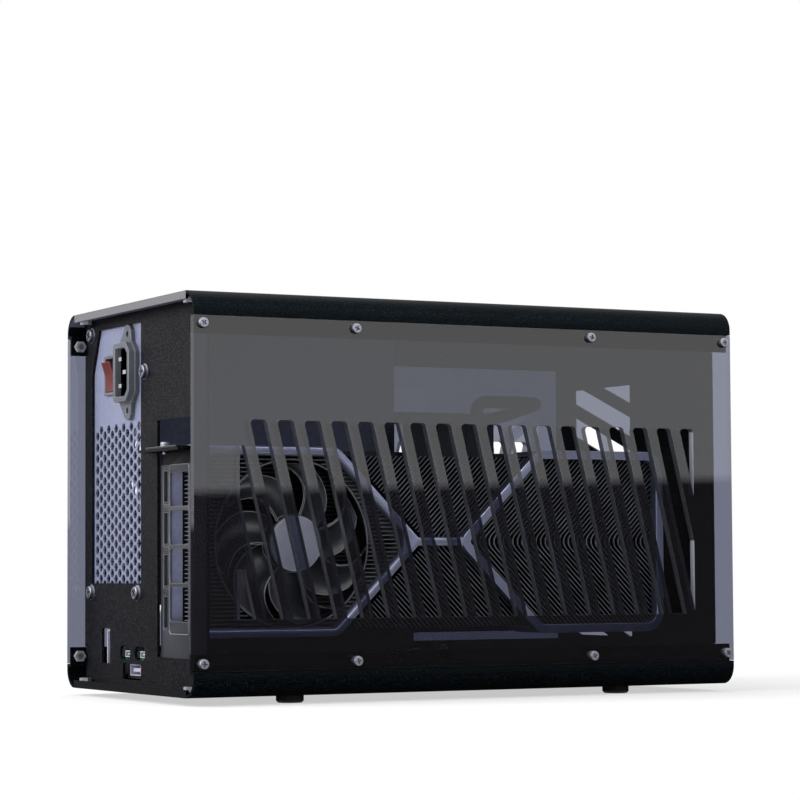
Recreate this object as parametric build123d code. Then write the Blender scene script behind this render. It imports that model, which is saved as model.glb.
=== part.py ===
from build123d import *
import math
import os

# External graphics card enclosure with its power supply and graphics card fitted.
# +X runs along the length, the rear with the ports faces -X, the slotted side panel of the view faces -Y.
# The origin is on the surface it stands on, under the middle of the box.

# Enclosure
length = 315.0
width = 171.0
height = 200.0
foot_height = 4.0
foot_radius = 7.0
foot_inset_x = 61.5
foot_inset_y = 21.5
sheet = 1.5
cover_radius = 10.0
cover_skirt = 12.5
cover_flange = 9.0
end_lip = 4.0
acrylic = 4.0
fit_gap = 0.3
panel_recess = 8.6
panel_flange_inset = 10.5

# Slots of the side panels
slot_low = 38.0
slot_high_margin = 63.5
slot_end_margin = 24.5
slot_pitch = 14.82
slot_width = 9.0
slot_lean = 24.0
slot_corner = 2.0
slot_point = 1.5

# Fasteners
screw_radius = 1.5
screw_hole = 1.7
pan_head_radius = 3.0
pan_head = 2.2
low_head = 1.8
flat_head = 1.3
nut_flats = 5.5
nut_height = 2.4
side_screw_z = 16.7
side_screw_inset = 4.7
side_screw_middle = 69.0
cover_screw_inset_x = 4.5
cover_screw_inset_y = 15.5
cover_screw_length = 6.0

# Power supply, standing on its side
psu_width = 86.0
psu_height = 150.0
psu_depth = 140.0
psu_side_gap = 0.6
psu_top_gap = 5.2
psu_wall = 1.0
psu_screw_holes = ((16.0, 6.0), (80.0, 6.0), (6.0, 120.0), (80.0, 144.0))
psu_screw_radius = 1.75
psu_head_radius = 4.4
psu_head = 2.4
psu_screw_length = 7.0
psu_opening_across = (11.8, 80.2)
psu_opening_up = (11.0, 146.2)
psu_opening_cut = (10.0, 23.0)
vent_pitch = 6.1
vent_hole = 4.4
vent_across = (10.0, 82.0)
vent_up = (7.2, 98.2)

# Mains inlet and rocker switch, from the corner of the power supply
inlet_across = 28.5
inlet_up = 121.0
inlet_ear = 20.0
inlet_ear_radius = 5.0
inlet_flange = 2.5
inlet_rim_y = 22.0
inlet_rim_z = 31.0
inlet_rim_out = 6.0
inlet_wall = 2.8
inlet_chamfer = 5.0
inlet_round = 2.4
inlet_depth = 15.0
pin_wide = 4.0
pin_thick = 2.0
pin_spread = 7.0
pin_step = 2.0
pin_short = 1.2
switch_across = 55.5
switch_up = 121.0
bezel_y = 15.0
bezel_z = 21.0
bezel_out = 1.6
bezel_wall = 1.5
bezel_depth = 9.0
rocker_half = 8.0
rocker_high = 4.4
rocker_mid = 3.2
rocker_back = 4.0
rocker_tilt = 10.0
rocker_pin = 1.2
pin_play = 0.06
side_play = 0.4

# Power supply fan
psu_fan_size = 120.0
psu_fan_corner = 6.0
psu_fan_deep = 25.0
psu_fan_bore = 58.0
psu_fan_room = 1.5
psu_fan_hub = 19.0
psu_fan_blades = 7
psu_fan_chord = 34.0
psu_fan_camber = 4.0
psu_blade = 1.6
psu_cap = 4.0
strut_wide = 5.0
guard_step = 12.0
guard_count = 4
guard_wire = 1.6
guard_sides = 24

# Power supply internals
board_post = 3.0
psu_board_inset = (10.0, 8.0)
post_inset = 6.0
psu_board_thick = 1.6
sink_wall = 3.0
sink_long = 90.0
sink_tall = 40.0
sink_up = (42.0, 108.0)
sink_fins = 6
sink_fin = (2.0, 16.0)
sink_fin_pitch = 16.0
sink_fin_start = 12.0
core_size = (38.0, 34.0, 30.0)
winding_size = (26.0, 38.0, 26.0)
can_radius = 13.0
can_tall = 42.0
can_apart = 92.0
can_chamfer = 1.5

# Card bracket and its place in the rear panel
bracket_from_side = 66.0
bracket_wide = 38.7
bracket_sheet = 0.9
bracket_gap = 0.2
bracket_foot = 9.0
ledge_up = 115.6
ledge_across = (-42.5, 7.5)
ledge_reach = 7.1
card_opening_across = (-42.5, 0.5)
card_opening_up = 10.4
access_tall = 15.0
bracket_screw_across = (-18.5,)
port_up = (33.2, 54.4, 75.6, 96.8)
port_tall = 17.0
port_thick = 6.0
port_deep = 18.0
port_shell = 0.8
port_floor = 3.0
port_tongue = (1.4, 10.0)
window_across = (-35.5, -12.0)
window_up = (37.2, 56.5, 75.8, 95.1)
window_tall = 17.2
window_corner = 2.0

# Graphics card, from its bracket and its board
board_offset = 3.7
board_thick = 1.6
board_drop = 8.0
card_long = 277.3
card_deep = 35.3
card_low_up = 20.2
card_tall = 96.7
frame_wall = 3.0
frame_deep = 27.5
frame_corner = 11.0
frame_chamfer = 0.8
arm_wide = 4.5
arm_depth = 5.5
arm_bend = 9.0
right_point = 6.0
left_web = 5.0
left_vertex_along = 129.5
right_vertex_along = 150.8
fin_thick = 0.5
fin_gap = 13.8
fin_bend = 5.0
fin_least = 4.0
fan_fin_pitch = 2.13
fan_fin_start = 4.8
chevron_pitch = 2.85
base_plate = 4.0
plate_gap = 1.0
base_plate_along = (8.0, 176.3)
front_fan_along = 57.2
front_fan_drop = 1.0
rear_fan_inset = 45.0
card_fan_tip = 41.2
card_fan_room = 1.2
fan_ring = 0.8
card_fan_hub = 14.5
card_fan_blades = 7
card_fan_chord = 25.0
card_fan_camber = 3.0
blade_sweep = 42.0
blade_root = 0.6
card_blade = 1.2
pocket_deep = 13.0
motor_plate = 1.5
fan_shaft = 2.0
shaft_play = 0.05
face_gap = 0.4
pipe_up = (16.2, 32.3, 48.35, 64.4, 80.5)
pipe_wide = 8.0
pipe_thick = 3.0
chip_along = (84.3, 124.3)
chip_tall = 40.0
back_plate = 1.4
back_plate_start = 6.0
card_strut = 4.0
socket_end = 187.9
plug_count = 3
plug_wide = 16.8
plug_pitch = 17.2
socket_thick = 7.6
socket_deep = 10.0
socket_proud = 2.0
card_plug_tall = 18.2

# Dock board and the boards and ports on it, from its rear right corner
standoff_tall = 5.0
standoff_radius = 3.0
standoff_bore = 4.0
dock_thick = 1.6
dock_gap = 1.4
dock_long = 256.0
dock_wide = 98.0
dock_beside = 14.8
standoff_along = (11.0, 126.0, 246.0)
standoff_along_far = (34.0, 126.0, 246.0)
standoff_inset = 6.0
slot_along = (49.0, 138.0)
slot_body = 7.4
slot_tall = 11.2
finger_inset = (5.0, 4.0)
finger_up = 3.9
finger_tall = 10.0
finger_bevel = 1.0
key_along = 12.5
key_wide = 2.0
key_tall = 8.0
latch_along = 143.4
latch_up = 4.4
latch_pin = 1.0
latch_wide = 4.6
cheek_past = 3.5
cheek_above = 2.5
module_long = 46.0
module_across = (32.0, 73.0)
module_up = 9.4
module_spacer_inset = 4.0
module_spacer_radius = 2.5
usb_c_across = (62.4, 42.2)
usb_c_window = (14.0, 7.2)
usb_c_window_up = 2.3
usb_c_shell = (9.0, 3.3)
upright_across = 89.0
upright_window = (11.4, 18.5)
upright_window_up = 14.7
upright_shell = (7.0, 23.2)
lower_across = 53.0
lower_window = (24.6, 8.6)
lower_window_up = 2.1
lower_shell = (14.0, 5.8)
port_gap = 0.6
thin_shell = 0.45
socket_floor = 2.0
usb_c_long = 8.0
usb_c_tongue = (6.6, 0.8)
upright_long = 18.0
upright_tongue = (1.8, 17.0)
port_long = 14.0
lower_tongue = (10.0, 1.8)
window_round = 0.8
dock_socket_along = (146.5, 156.5)
dock_socket_across = (47.0, 95.0)
dock_socket_tall = 12.0
dock_plug_tall = 14.0

# Cables inside the box
card_cable = 3.4
card_cable_bends = (6.5, 10.0, 12.0)
card_cable_rise = 6.8
card_cable_loop = (36.0, 8.0, 0.6)
card_cable_above = 6.0
dock_cable = 4.2
dock_cable_bend = 11.0
dock_cable_across = (-9.5, 0.0, 9.5)
dock_cable_drop = 7.0
cable_start = 6.0
outlet_across = 43.0
outlet_up = 95.2
outlet_radius = 18.0
grommet_rim = 3.0

# Front panel vent
front_vent_y = (0.0, 60.5)
front_vent_low = 24.0
front_vent_margin = 34.3
front_vent_first = 10.9
front_vent_pitch = 18.9
front_vent_slot = 11.3
front_vent_slope = 20.0

# Places that follow from the sizes above
base = foot_height
top = base + height
foot_x = length / 2 - foot_inset_x
foot_y = width / 2 - foot_inset_y
panel_flange_y = width / 2 - panel_flange_inset
slot_high = height - slot_high_margin
slot_reach = length / 2 - slot_end_margin
slot_count = int((2 * slot_reach + slot_lean) / slot_pitch) + 1
side_screw_end = length / 2 - side_screw_inset
side_screw_x = (-side_screw_end, -side_screw_middle, side_screw_middle, side_screw_end)
cover_screw_x = length / 2 - cover_screw_inset_x
cover_screw_y = width / 2 - cover_screw_inset_y
rear_in = -length / 2 + panel_recess + sheet
rear_out = rear_in - sheet

psu_far = width / 2 - acrylic - sheet - nut_height - psu_side_gap
psu_side = psu_far - psu_width
psu_top = height - psu_top_gap
psu_low = psu_top - psu_height
psu_front = rear_in + psu_depth
psu_opening_y = (psu_side + psu_opening_across[0], psu_side + psu_opening_across[1])
psu_opening_z = (psu_low + psu_opening_up[0], psu_low + psu_opening_up[1])
vent_rows_y = (psu_side + vent_across[0], psu_side + vent_across[1])
vent_rows_z = (psu_low + vent_up[0], psu_low + vent_up[1])
inlet_y = psu_side + inlet_across
inlet_z = psu_low + inlet_up
switch_y = psu_side + switch_across
switch_z = psu_low + switch_up
outlet_y = psu_side + outlet_across
outlet_z = psu_low + outlet_up
psu_fan_tip = psu_fan_bore - psu_fan_room

dock_top = sheet + standoff_tall + dock_thick
bracket_edge = -width / 2 + bracket_from_side
bracket_out = rear_in + bracket_gap
bracket_in = bracket_out + bracket_sheet
board_face = bracket_edge - board_offset
board_back = board_face + board_thick
ledge_z = dock_top + ledge_up
ledge_y = (bracket_edge + ledge_across[0], bracket_edge + ledge_across[1])
card_opening_y = (bracket_edge + card_opening_across[0], bracket_edge + card_opening_across[1])
card_opening_low = dock_top + card_opening_up
access_top = ledge_z + access_tall
bracket_screw_y = [bracket_edge + across for across in bracket_screw_across]
window_y = (bracket_edge + window_across[0], bracket_edge + window_across[1])
port_z = [dock_top + up for up in port_up]
window_z = [dock_top + up for up in window_up]

card_start = bracket_in
card_end = card_start + card_long
card_face = board_face - card_deep
card_bottom = dock_top + card_low_up
card_top = card_bottom + card_tall
card_mid = card_bottom + card_tall / 2
frame_back = card_face + frame_deep
left_vertex = card_start + left_vertex_along
right_vertex = card_start + right_vertex_along
fin_back = board_face - fin_gap
front_fan_x = card_start + front_fan_along
rear_fan_x = card_end - rear_fan_inset
fan_clear = card_fan_tip + card_fan_room + fan_ring + fit_gap
pocket_floor = card_face + pocket_deep
pipe_z = [card_bottom + up for up in pipe_up]
socket_x = (card_start + socket_end - plug_count * plug_pitch, card_start + socket_end)
plug_x = [socket_x[1] - (k + 0.5) * plug_pitch for k in range(plug_count)]
socket_y = (board_face - socket_thick, board_face)
socket_top = card_top + socket_proud

dock_x = (rear_in + dock_gap, rear_in + dock_gap + dock_long)
dock_y = (board_face - dock_beside, board_face - dock_beside + dock_wide)
slot_x = (dock_x[0] + slot_along[0], dock_x[0] + slot_along[1])
finger_x = (slot_x[0] + finger_inset[0], slot_x[1] - finger_inset[1])
finger_low = dock_top + finger_up
finger_top = finger_low + finger_tall
latch_pivot_x = dock_x[0] + latch_along
latch_pivot_z = dock_top + latch_up
module_x = (dock_x[0], dock_x[0] + module_long)
module_y = (dock_y[0] + module_across[0], dock_y[0] + module_across[1])
module_top = dock_top + module_up
usb_c_y = [dock_y[0] + across for across in usb_c_across]
usb_c_window_z = module_top + usb_c_window_up
upright_y = dock_y[0] + upright_across
upright_window_z = dock_top + upright_window_up
lower_y = dock_y[0] + lower_across
lower_window_z = dock_top + lower_window_up
port_front = rear_in + port_gap
dock_socket_x = (dock_x[0] + dock_socket_along[0], dock_x[0] + dock_socket_along[1])
dock_socket_y = (dock_y[0] + dock_socket_across[0], dock_y[0] + dock_socket_across[1])
front_vent_z = (front_vent_low, height - front_vent_margin)


def block(x, y, z):
    mid = Pos((x[0] + x[1]) / 2, (y[0] + y[1]) / 2, (z[0] + z[1]) / 2)
    return mid * Box(x[1] - x[0], y[1] - y[0], z[1] - z[0])


def around(middle, size):
    return (middle - size / 2, middle + size / 2)


def lifted(low, high):
    return (base + low, base + high)


def plate_x(sketch, low, high):
    return Pos(low, 0, 0) * extrude(Plane.YZ * sketch, high - low, dir=(1, 0, 0))


def plate_y(sketch, low, high):
    return Pos(0, low, 0) * extrude(Plane.XZ * sketch, high - low, dir=(0, 1, 0))


def plate_z(sketch, low, high):
    return Pos(0, 0, low) * extrude(sketch, high - low, dir=(0, 0, 1))


def rod_x(radius, low, high, y, z):
    return plate_x(Pos(y, z) * Circle(radius), low, high)


def rod_y(radius, low, high, x, z):
    return plate_y(Pos(x, z) * Circle(radius), low, high)


def rod_z(radius, low, high, x, y):
    return plate_z(Pos(x, y) * Circle(radius), low, high)


def save(node, *pieces):
    shape = pieces[0] if len(pieces) == 1 else Compound(children=list(pieces))
    export_step(shape, f"parts/{node}.step")


def screw(head_radius, head, radius, shank):
    cap = Pos(0, 0, head / 2) * Cylinder(head_radius, head)
    cap = chamfer(cap.edges().sort_by(Axis.Z)[-1], head * 0.4)
    return cap + Pos(0, 0, -shank / 2) * Cylinder(radius, shank)


def flat_screw(play):
    cone = Pos(0, 0, -flat_head / 2) * Cone(screw_radius + play, pan_head_radius + play, flat_head)
    return cone + Pos(0, 0, -cover_screw_length / 2) * Cylinder(screw_radius + play, cover_screw_length)


def hex_nut():
    ring = RegularPolygon(nut_flats / 2, 6, major_radius=False) - Circle(screw_radius + shaft_play)
    return extrude(ring, nut_height)


# Covers: folded sheet with rounded long edges, a joggled flange behind each side panel and a lip at each end
def cover_face():
    outer = Pos(0, -cover_skirt / 2) * Rectangle(width, cover_skirt)
    outer = fillet(outer.vertices().group_by(Axis.Y)[-1], cover_radius)
    inner = Pos(0, -sheet - cover_skirt / 2) * Rectangle(width - 2 * sheet, cover_skirt)
    inner = fillet(inner.vertices().group_by(Axis.Y)[-1], cover_radius - sheet)
    face = outer - inner
    for side in (-1, 1):
        step = acrylic + sheet
        face += Pos(side * (width - step) / 2, -cover_skirt + sheet / 2) * Rectangle(step, sheet)
        leaf = Rectangle(sheet, cover_flange + sheet, align=(Align.CENTER, Align.MAX))
        face += Pos(side * (width / 2 - acrylic - sheet / 2), -cover_skirt + sheet) * leaf
    return face


def cover(outside, inward, face, screw_z):
    lip_half = width / 2 - cover_radius
    lip_z = sorted((outside + inward * sheet, outside + inward * end_lip))
    shell = plate_x(Pos(0, outside) * face, -length / 2, length / 2)
    for end in (-1, 1):
        lip_x = sorted((end * length / 2, end * (length / 2 - sheet)))
        shell += block(lip_x, (-lip_half, lip_half), lip_z)
        for side in (-1, 1):
            turn = Rot(0, 0, 0) if inward < 0 else Rot(180, 0, 0)
            shell -= Pos(end * cover_screw_x, side * cover_screw_y, outside) * turn * flat_screw(shaft_play)
    for x in side_screw_x:
        shell -= rod_y(screw_hole, -width, width, x, screw_z)
    return shell


cover_outline = cover_face()
top_screw_z = top - side_screw_z
bottom_screw_z = base + side_screw_z
top_cover = cover(top, -1, cover_outline, top_screw_z)
bottom_cover = cover(base, 1, mirror(cover_outline, about=Plane.XZ), bottom_screw_z)


# Side panels: smoked sheet with a field of leaning slots cut off by the field's upright ends
def side_panel():
    face = Pos(0, base + height / 2) * Rectangle(length, height - 2 * cover_skirt - 2 * fit_gap)
    field_mid = base + (slot_low + slot_high) / 2
    field = Pos(0, field_mid) * Rectangle(2 * slot_reach, slot_high - slot_low)
    for k in range(slot_count):
        x = (k - (slot_count - 1) / 2) * slot_pitch
        foot = x + slot_lean / 2
        head = x - slot_lean / 2
        half = slot_width / 2
        corners = (
            (foot - half, base + slot_low),
            (foot + half, base + slot_low),
            (head + half, base + slot_high),
            (head - half, base + slot_high),
        )
        slot = Polygon(*corners, align=None) & field
        upper = slot.vertices().group_by(Axis.Y)[-1].sort_by(Axis.X)
        if len(upper) == 1:
            slot = fillet(upper, slot_point)
        elif upper[-1].X - upper[0].X > 3 * slot_corner:
            slot = fillet(upper, slot_corner)
        face -= slot
    for x in side_screw_x:
        for z in (top_screw_z, bottom_screw_z):
            face -= Pos(x, z) * Circle(screw_hole)
    return plate_y(face, -width / 2, -width / 2 + acrylic)


right_panel = side_panel()
left_panel = Rot(0, 0, 180) * right_panel


def side_fasteners(side):
    grip = acrylic + sheet
    shank = grip + nut_height
    turn = Rot(90, 0, 0) if side < 0 else Rot(-90, 0, 0)
    screws = []
    nuts = []
    for x in side_screw_x:
        for z in (top_screw_z, bottom_screw_z):
            bolt = screw(pan_head_radius, pan_head, screw_radius, shank)
            screws.append(Pos(x, side * width / 2, z) * turn * bolt)
            nuts.append(Pos(x, side * (width / 2 - grip - nut_height), z) * turn * hex_nut())
    return screws, nuts


right_screws, right_nuts = side_fasteners(-1)
left_screws, left_nuts = side_fasteners(1)

cover_screws = []
for end in (-1, 1):
    for side in (-1, 1):
        bolt = flat_screw(0)
        cover_screws.append(Pos(end * cover_screw_x, side * cover_screw_y, top) * bolt)
        cover_screws.append(Pos(end * cover_screw_x, side * cover_screw_y, base) * Rot(180, 0, 0) * bolt)

feet = []
for end in (-1, 1):
    for side in (-1, 1):
        pad = Pos(end * foot_x, side * foot_y, foot_height / 2) * Cylinder(foot_radius, foot_height)
        feet.append(chamfer(pad.edges().sort_by(Axis.Z)[0], foot_height / 4))


# Rear and front panels: one sheet each, with flanges folded outwards under the covers
def end_panel(end, holes):
    leaf_half = width / 2 - acrylic - sheet - fit_gap
    belly_half = width / 2 - acrylic - fit_gap
    belly_tall = height - 2 * (cover_skirt + cover_flange + fit_gap)
    inner = RectangleRounded(width - 2 * sheet - 2 * fit_gap, height - 2 * sheet, cover_radius - sheet)
    face = inner & (Rectangle(2 * leaf_half, height) + Rectangle(2 * belly_half, belly_tall))
    face = Pos(0, base + height / 2) * face - holes
    near = sorted((end * abs(rear_in), end * abs(rear_out)))
    panel = plate_x(face, *near)
    fold = sorted((end * abs(rear_in), end * (length / 2 - sheet - fit_gap)))
    low_leaf = (base + sheet, base + 2 * sheet)
    high_leaf = (top - 2 * sheet, top - sheet)
    low_nut = (low_leaf[1], low_leaf[1] + nut_height)
    high_nut = (high_leaf[0] - nut_height, high_leaf[0])
    for leaf_z, nut_z in ((low_leaf, low_nut), (high_leaf, high_nut)):
        leaf = block(fold, (-panel_flange_y, panel_flange_y), leaf_z)
        for side in (-1, 1):
            x = end * cover_screw_x
            y = side * cover_screw_y
            nut = Pos(x, y) * RegularPolygon(nut_flats / 2, 6, major_radius=False, rotation=30)
            leaf += plate_z(nut, *nut_z)
            leaf -= rod_z(screw_hole, leaf_z[0] - cover_radius, leaf_z[1] + cover_radius, x, y)
        panel += leaf
    return panel


def psu_point(hole):
    return (psu_side + hole[0], base + psu_low + hole[1])


def window(y, z, size, corner):
    return Pos(y, base + z) * RectangleRounded(size[0], size[1], corner)


def rear_holes():
    y0, y1 = psu_opening_y
    z0, z1 = lifted(*psu_opening_z)
    cut_y, cut_z = psu_opening_cut
    holes = Polygon((y0, z0), (y1, z0), (y1, z1 - cut_z), (y1 - cut_y, z1), (y0, z1), align=None)
    for hole in psu_screw_holes:
        holes += Pos(*psu_point(hole)) * Circle(psu_screw_radius + fit_gap)
    for y in usb_c_y:
        holes += window(y, usb_c_window_z, usb_c_window, usb_c_window[1] / 2 - fit_gap / 3)
    holes += window(upright_y, upright_window_z, upright_window, window_round)
    holes += window(lower_y, lower_window_z, lower_window, window_round)
    card_y = card_opening_y
    card_middle = (card_y[0] + card_y[1]) / 2
    card_wide = card_y[1] - card_y[0]
    opening = (card_wide, ledge_z - sheet - card_opening_low)
    holes += window(card_middle, (card_opening_low + ledge_z - sheet) / 2, opening, window_round)
    access = (card_wide, access_top - ledge_z)
    holes += Pos(card_middle, base + (ledge_z + access_top) / 2) * Rectangle(*access)
    return holes


def front_holes():
    y0, y1 = front_vent_y
    rise = (y1 - y0) * math.tan(math.radians(front_vent_slope))
    field_z = lifted(*front_vent_z)
    tall = field_z[1] - field_z[0]
    field = Pos((y0 + y1) / 2, sum(field_z) / 2) * Rectangle(y1 - y0, tall)
    slots = []
    count = int((tall + rise) / front_vent_pitch) + 1
    for k in range(count):
        z = field_z[1] - front_vent_first - k * front_vent_pitch
        corners = (
            (y0, z),
            (y1, z + rise),
            (y1, z + rise + front_vent_slot),
            (y0, z + front_vent_slot),
        )
        slots.append(Polygon(*corners, align=None) & field)
    return Sketch() + slots


rear_panel = end_panel(-1, rear_holes())
ledge = block((rear_out - ledge_reach, rear_in), ledge_y, lifted(ledge_z - sheet, ledge_z))
tab_screw_x = rear_out - ledge_reach / 2
for y in bracket_screw_y:
    ledge -= rod_z(screw_hole, base + ledge_z - 2 * sheet, base + ledge_z + sheet, tab_screw_x, y)
rear_panel += ledge
front_panel = end_panel(1, front_holes())


# Power supply case: a tray with rear, side and front walls, and a lid that carries the fan
fan_x = (rear_in + psu_front) / 2
fan_z = base + psu_low + psu_height / 2
tray_z = lifted(psu_low + psu_wall, psu_top - psu_wall)
lid_in = psu_far - psu_wall


def rear_vent():
    holes = []
    column = vent_pitch * math.sqrt(3) / 2
    columns = int((vent_rows_y[1] - vent_rows_y[0]) / column)
    rows = int((vent_rows_z[1] - vent_rows_z[0]) / vent_pitch)
    for i in range(columns):
        for j in range(rows):
            y = vent_rows_y[0] + (i + 0.5) * column
            z = base + vent_rows_z[0] + (j + 0.5 + 0.5 * (i % 2)) * vent_pitch
            holes.append(Pos(y, z) * RegularPolygon(vent_hole / 2, 6, major_radius=False))
    return Sketch() + holes


def inlet_outline(shrink):
    half_y = inlet_rim_y / 2 - shrink
    half_z = inlet_rim_z / 2 - shrink
    cut = inlet_chamfer - shrink * (2 - math.sqrt(2))
    corners = (
        (half_y, -half_z),
        (half_y, half_z),
        (cut - half_y, half_z),
        (-half_y, half_z - cut),
        (-half_y, cut - half_z),
        (cut - half_y, -half_z),
    )
    outline = Polygon(*corners, align=None)
    outline = fillet(outline.vertices(), inlet_round - shrink / 2)
    return Pos(inlet_y, base + inlet_z) * outline


def bezel_outline(grow):
    return Pos(switch_y, base + switch_z) * Rectangle(bezel_y + grow, bezel_z + grow)


rear_wall_face = Rectangle(lid_in - psu_side, tray_z[1] - tray_z[0])
rear_wall_face = Pos((psu_side + lid_in) / 2, sum(tray_z) / 2) * rear_wall_face
rear_wall_face -= rear_vent()
rear_wall_face -= inlet_outline(inlet_wall / 2 - fit_gap)
rear_wall_face -= bezel_outline(-bezel_wall + 2 * fit_gap)
for hole in psu_screw_holes:
    rear_wall_face -= Pos(*psu_point(hole)) * Circle(psu_screw_radius + shaft_play)
psu_tray = plate_x(rear_wall_face, rear_in, rear_in + psu_wall)
psu_tray += block((rear_in, psu_front), (psu_side, psu_side + psu_wall), tray_z)
front_wall = block((psu_front - psu_wall, psu_front), (psu_side, lid_in), tray_z)
outlet = (outlet_y, base + outlet_z)
front_wall -= rod_x(outlet_radius, psu_front - 2 * psu_wall, psu_front + psu_wall, *outlet)
psu_tray += front_wall

psu_board_y = psu_side + psu_wall + board_post
psu_board_x = (rear_in + psu_board_inset[0], psu_front - psu_board_inset[0])
psu_board_z = lifted(psu_low + psu_board_inset[1], psu_top - psu_board_inset[1])
for x in (psu_board_x[0] + post_inset, psu_board_x[1] - post_inset):
    for z in (psu_board_z[0] + post_inset, psu_board_z[1] - post_inset):
        psu_tray += rod_y(board_post, psu_side + psu_wall / 2, psu_board_y, x, z)

lid_face = Rectangle(psu_width, psu_height)
lid_face -= Pos(-psu_wall, 0) * Rectangle(psu_width, psu_height - 2 * psu_wall)
psu_lid = plate_x(Pos((psu_side + psu_far) / 2, fan_z) * lid_face, rear_in, psu_front)
psu_lid -= rod_y(psu_fan_bore, lid_in - psu_wall, psu_far + psu_wall, fan_x, fan_z)

# Mains inlet: two ears, a rim with cut corners on the earth side, a cup behind and three flat pins
ear_face = inlet_outline(-fit_gap)
for side in (-1, 1):
    ear_z = base + inlet_z + side * inlet_ear
    root_z = base + inlet_z + side * inlet_rim_z / 2
    root_half = inlet_rim_y / 2 - inlet_chamfer
    tip_z = ear_z + side * inlet_ear_radius / 3
    ear = Polygon(
        (inlet_y - root_half, root_z),
        (inlet_y + root_half + inlet_chamfer, root_z),
        (inlet_y + inlet_ear_radius, tip_z),
        (inlet_y - inlet_ear_radius, tip_z),
        align=None,
    )
    ear_face += ear + Pos(inlet_y, ear_z) * Circle(inlet_ear_radius)
for side in (-1, 1):
    ear_face -= Pos(inlet_y, base + inlet_z + side * inlet_ear) * Circle(screw_hole)
rim_out = rear_in - inlet_rim_out
cup_back = rim_out + inlet_depth
mains_inlet = plate_x(ear_face, rear_in - inlet_flange, rear_in)
mains_inlet += plate_x(inlet_outline(0), rim_out, rear_in)
mains_inlet += plate_x(inlet_outline(inlet_wall / 2), rear_in, cup_back + inlet_wall)
mains_inlet -= plate_x(inlet_outline(inlet_wall), rim_out - inlet_wall, cup_back)


def pin(y, z):
    return block((rim_out + pin_short, cup_back), around(y, pin_wide), around(base + z, pin_thick))


inlet_pins = [
    pin(inlet_y + 2 * pin_step, inlet_z + pin_spread),
    pin(inlet_y - pin_step, inlet_z),
    pin(inlet_y + 2 * pin_step, inlet_z - pin_spread),
]

# Rocker switch: a bezel with a cup, and a rocker on a cross pin, upper end out
bezel_face = bezel_outline(0) - bezel_outline(-2 * bezel_wall)
switch_bezel = plate_x(bezel_face, rear_in - bezel_out, rear_in)
cup_face = bezel_outline(-bezel_wall) - bezel_outline(-2 * bezel_wall)
switch_bezel += plate_x(cup_face, rear_in, rear_in + bezel_depth)
switch_bezel += plate_x(bezel_outline(-bezel_wall), rear_in + bezel_depth - bezel_wall, rear_in + bezel_depth)
rocker_x = rear_in + rocker_mid / 2
rocker_wide = bezel_y - 2 * bezel_wall - 2 * side_play
pin_reach = bezel_y / 2 - bezel_wall + bezel_wall / 3
bore_reach = pin_reach + fit_gap / 3
pin_bore = (switch_y - bore_reach, switch_y + bore_reach)
switch_bezel -= rod_y(rocker_pin + pin_play, *pin_bore, rocker_x, base + switch_z)
rocker_face = make_face(
    Polyline(
        (rocker_back, -rocker_half / 2),
        (-rocker_high, -rocker_half),
        (-rocker_mid, 0),
        (-rocker_high, rocker_half),
        (rocker_back, rocker_half / 2),
    )
    + ThreePointArc((rocker_back, rocker_half / 2), (rocker_back + 1, 0), (rocker_back, -rocker_half / 2))
)
rocker = plate_y(rocker_face, -rocker_wide / 2, rocker_wide / 2)
rocker += rod_y(rocker_pin, -pin_reach, pin_reach, 0, 0)
rocker = Pos(rocker_x, switch_y, base + switch_z) * Rot(0, -rocker_tilt, 0) * rocker

psu_screws = []
for hole in psu_screw_holes:
    bolt = screw(psu_head_radius, psu_head, psu_screw_radius, psu_screw_length)
    psu_screws.append(Pos(rear_out, *psu_point(hole)) * Rot(0, -90, 0) * bolt)


# Fan rotors: a cup hub with cambered blades that sweep back, turning about Y on a fixed shaft
def rotor(hub, tip, deep, blades, chord, camber, thick):
    body = Cylinder(hub, deep)
    body = chamfer(body.edges().filter_by(GeomType.CIRCLE), thick / 2)
    rise = deep - 2 * thick
    sections = []
    for share in (0, 0.5, 1):
        half = (blade_root + (1 - blade_root) * share) * math.sqrt(chord ** 2 - rise ** 2) / 2
        line = ThreePointArc((-half, -rise / 2), (camber, -camber), (half, rise / 2))
        radius = hub - thick + share * (tip - hub + 2 * thick)
        section = Plane.YZ * trace(line, thick)
        sections.append(Rot(0, 0, blade_sweep * share * share) * Pos(radius, 0, 0) * section)
    blade = loft(sections) & Cylinder(tip, deep)
    fan = body
    for k in range(blades):
        fan += Rot(0, 0, k * 360 / blades) * blade
    bore = Cylinder(fan_shaft + shaft_play, deep - 2 * thick, align=(Align.CENTER, Align.CENTER, Align.MIN))
    return fan - Pos(0, 0, -deep / 2) * bore


fan_frame_y = (lid_in - psu_fan_deep, lid_in)
frame_face = RectangleRounded(psu_fan_size, psu_fan_size, psu_fan_corner) - Circle(psu_fan_bore)
strut = Rectangle(strut_wide, psu_fan_bore + psu_fan_room / 2, align=(Align.CENTER, Align.MIN))
spider = Circle(psu_fan_hub)
for k in range(3):
    spider += Rot(0, 0, 120 * k) * strut
strut_deep = 3.0
psu_fan_frame = plate_y(Pos(fan_x, fan_z) * frame_face, *fan_frame_y)
psu_fan_frame += plate_y(Pos(fan_x, fan_z) * spider, fan_frame_y[0], fan_frame_y[0] + strut_deep)
psu_rotor_y = (fan_frame_y[0] + strut_deep + face_gap, fan_frame_y[1] - psu_wall)
psu_rotor_deep = psu_rotor_y[1] - psu_rotor_y[0]
shaft_end = psu_rotor_y[1] - psu_cap
psu_fan_frame += rod_y(fan_shaft, fan_frame_y[0], shaft_end, fan_x, fan_z)
psu_blades = (psu_fan_blades, psu_fan_chord, psu_fan_camber, psu_blade)
psu_rotor = rotor(psu_fan_hub, psu_fan_tip, psu_rotor_deep, *psu_blades)
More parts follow.
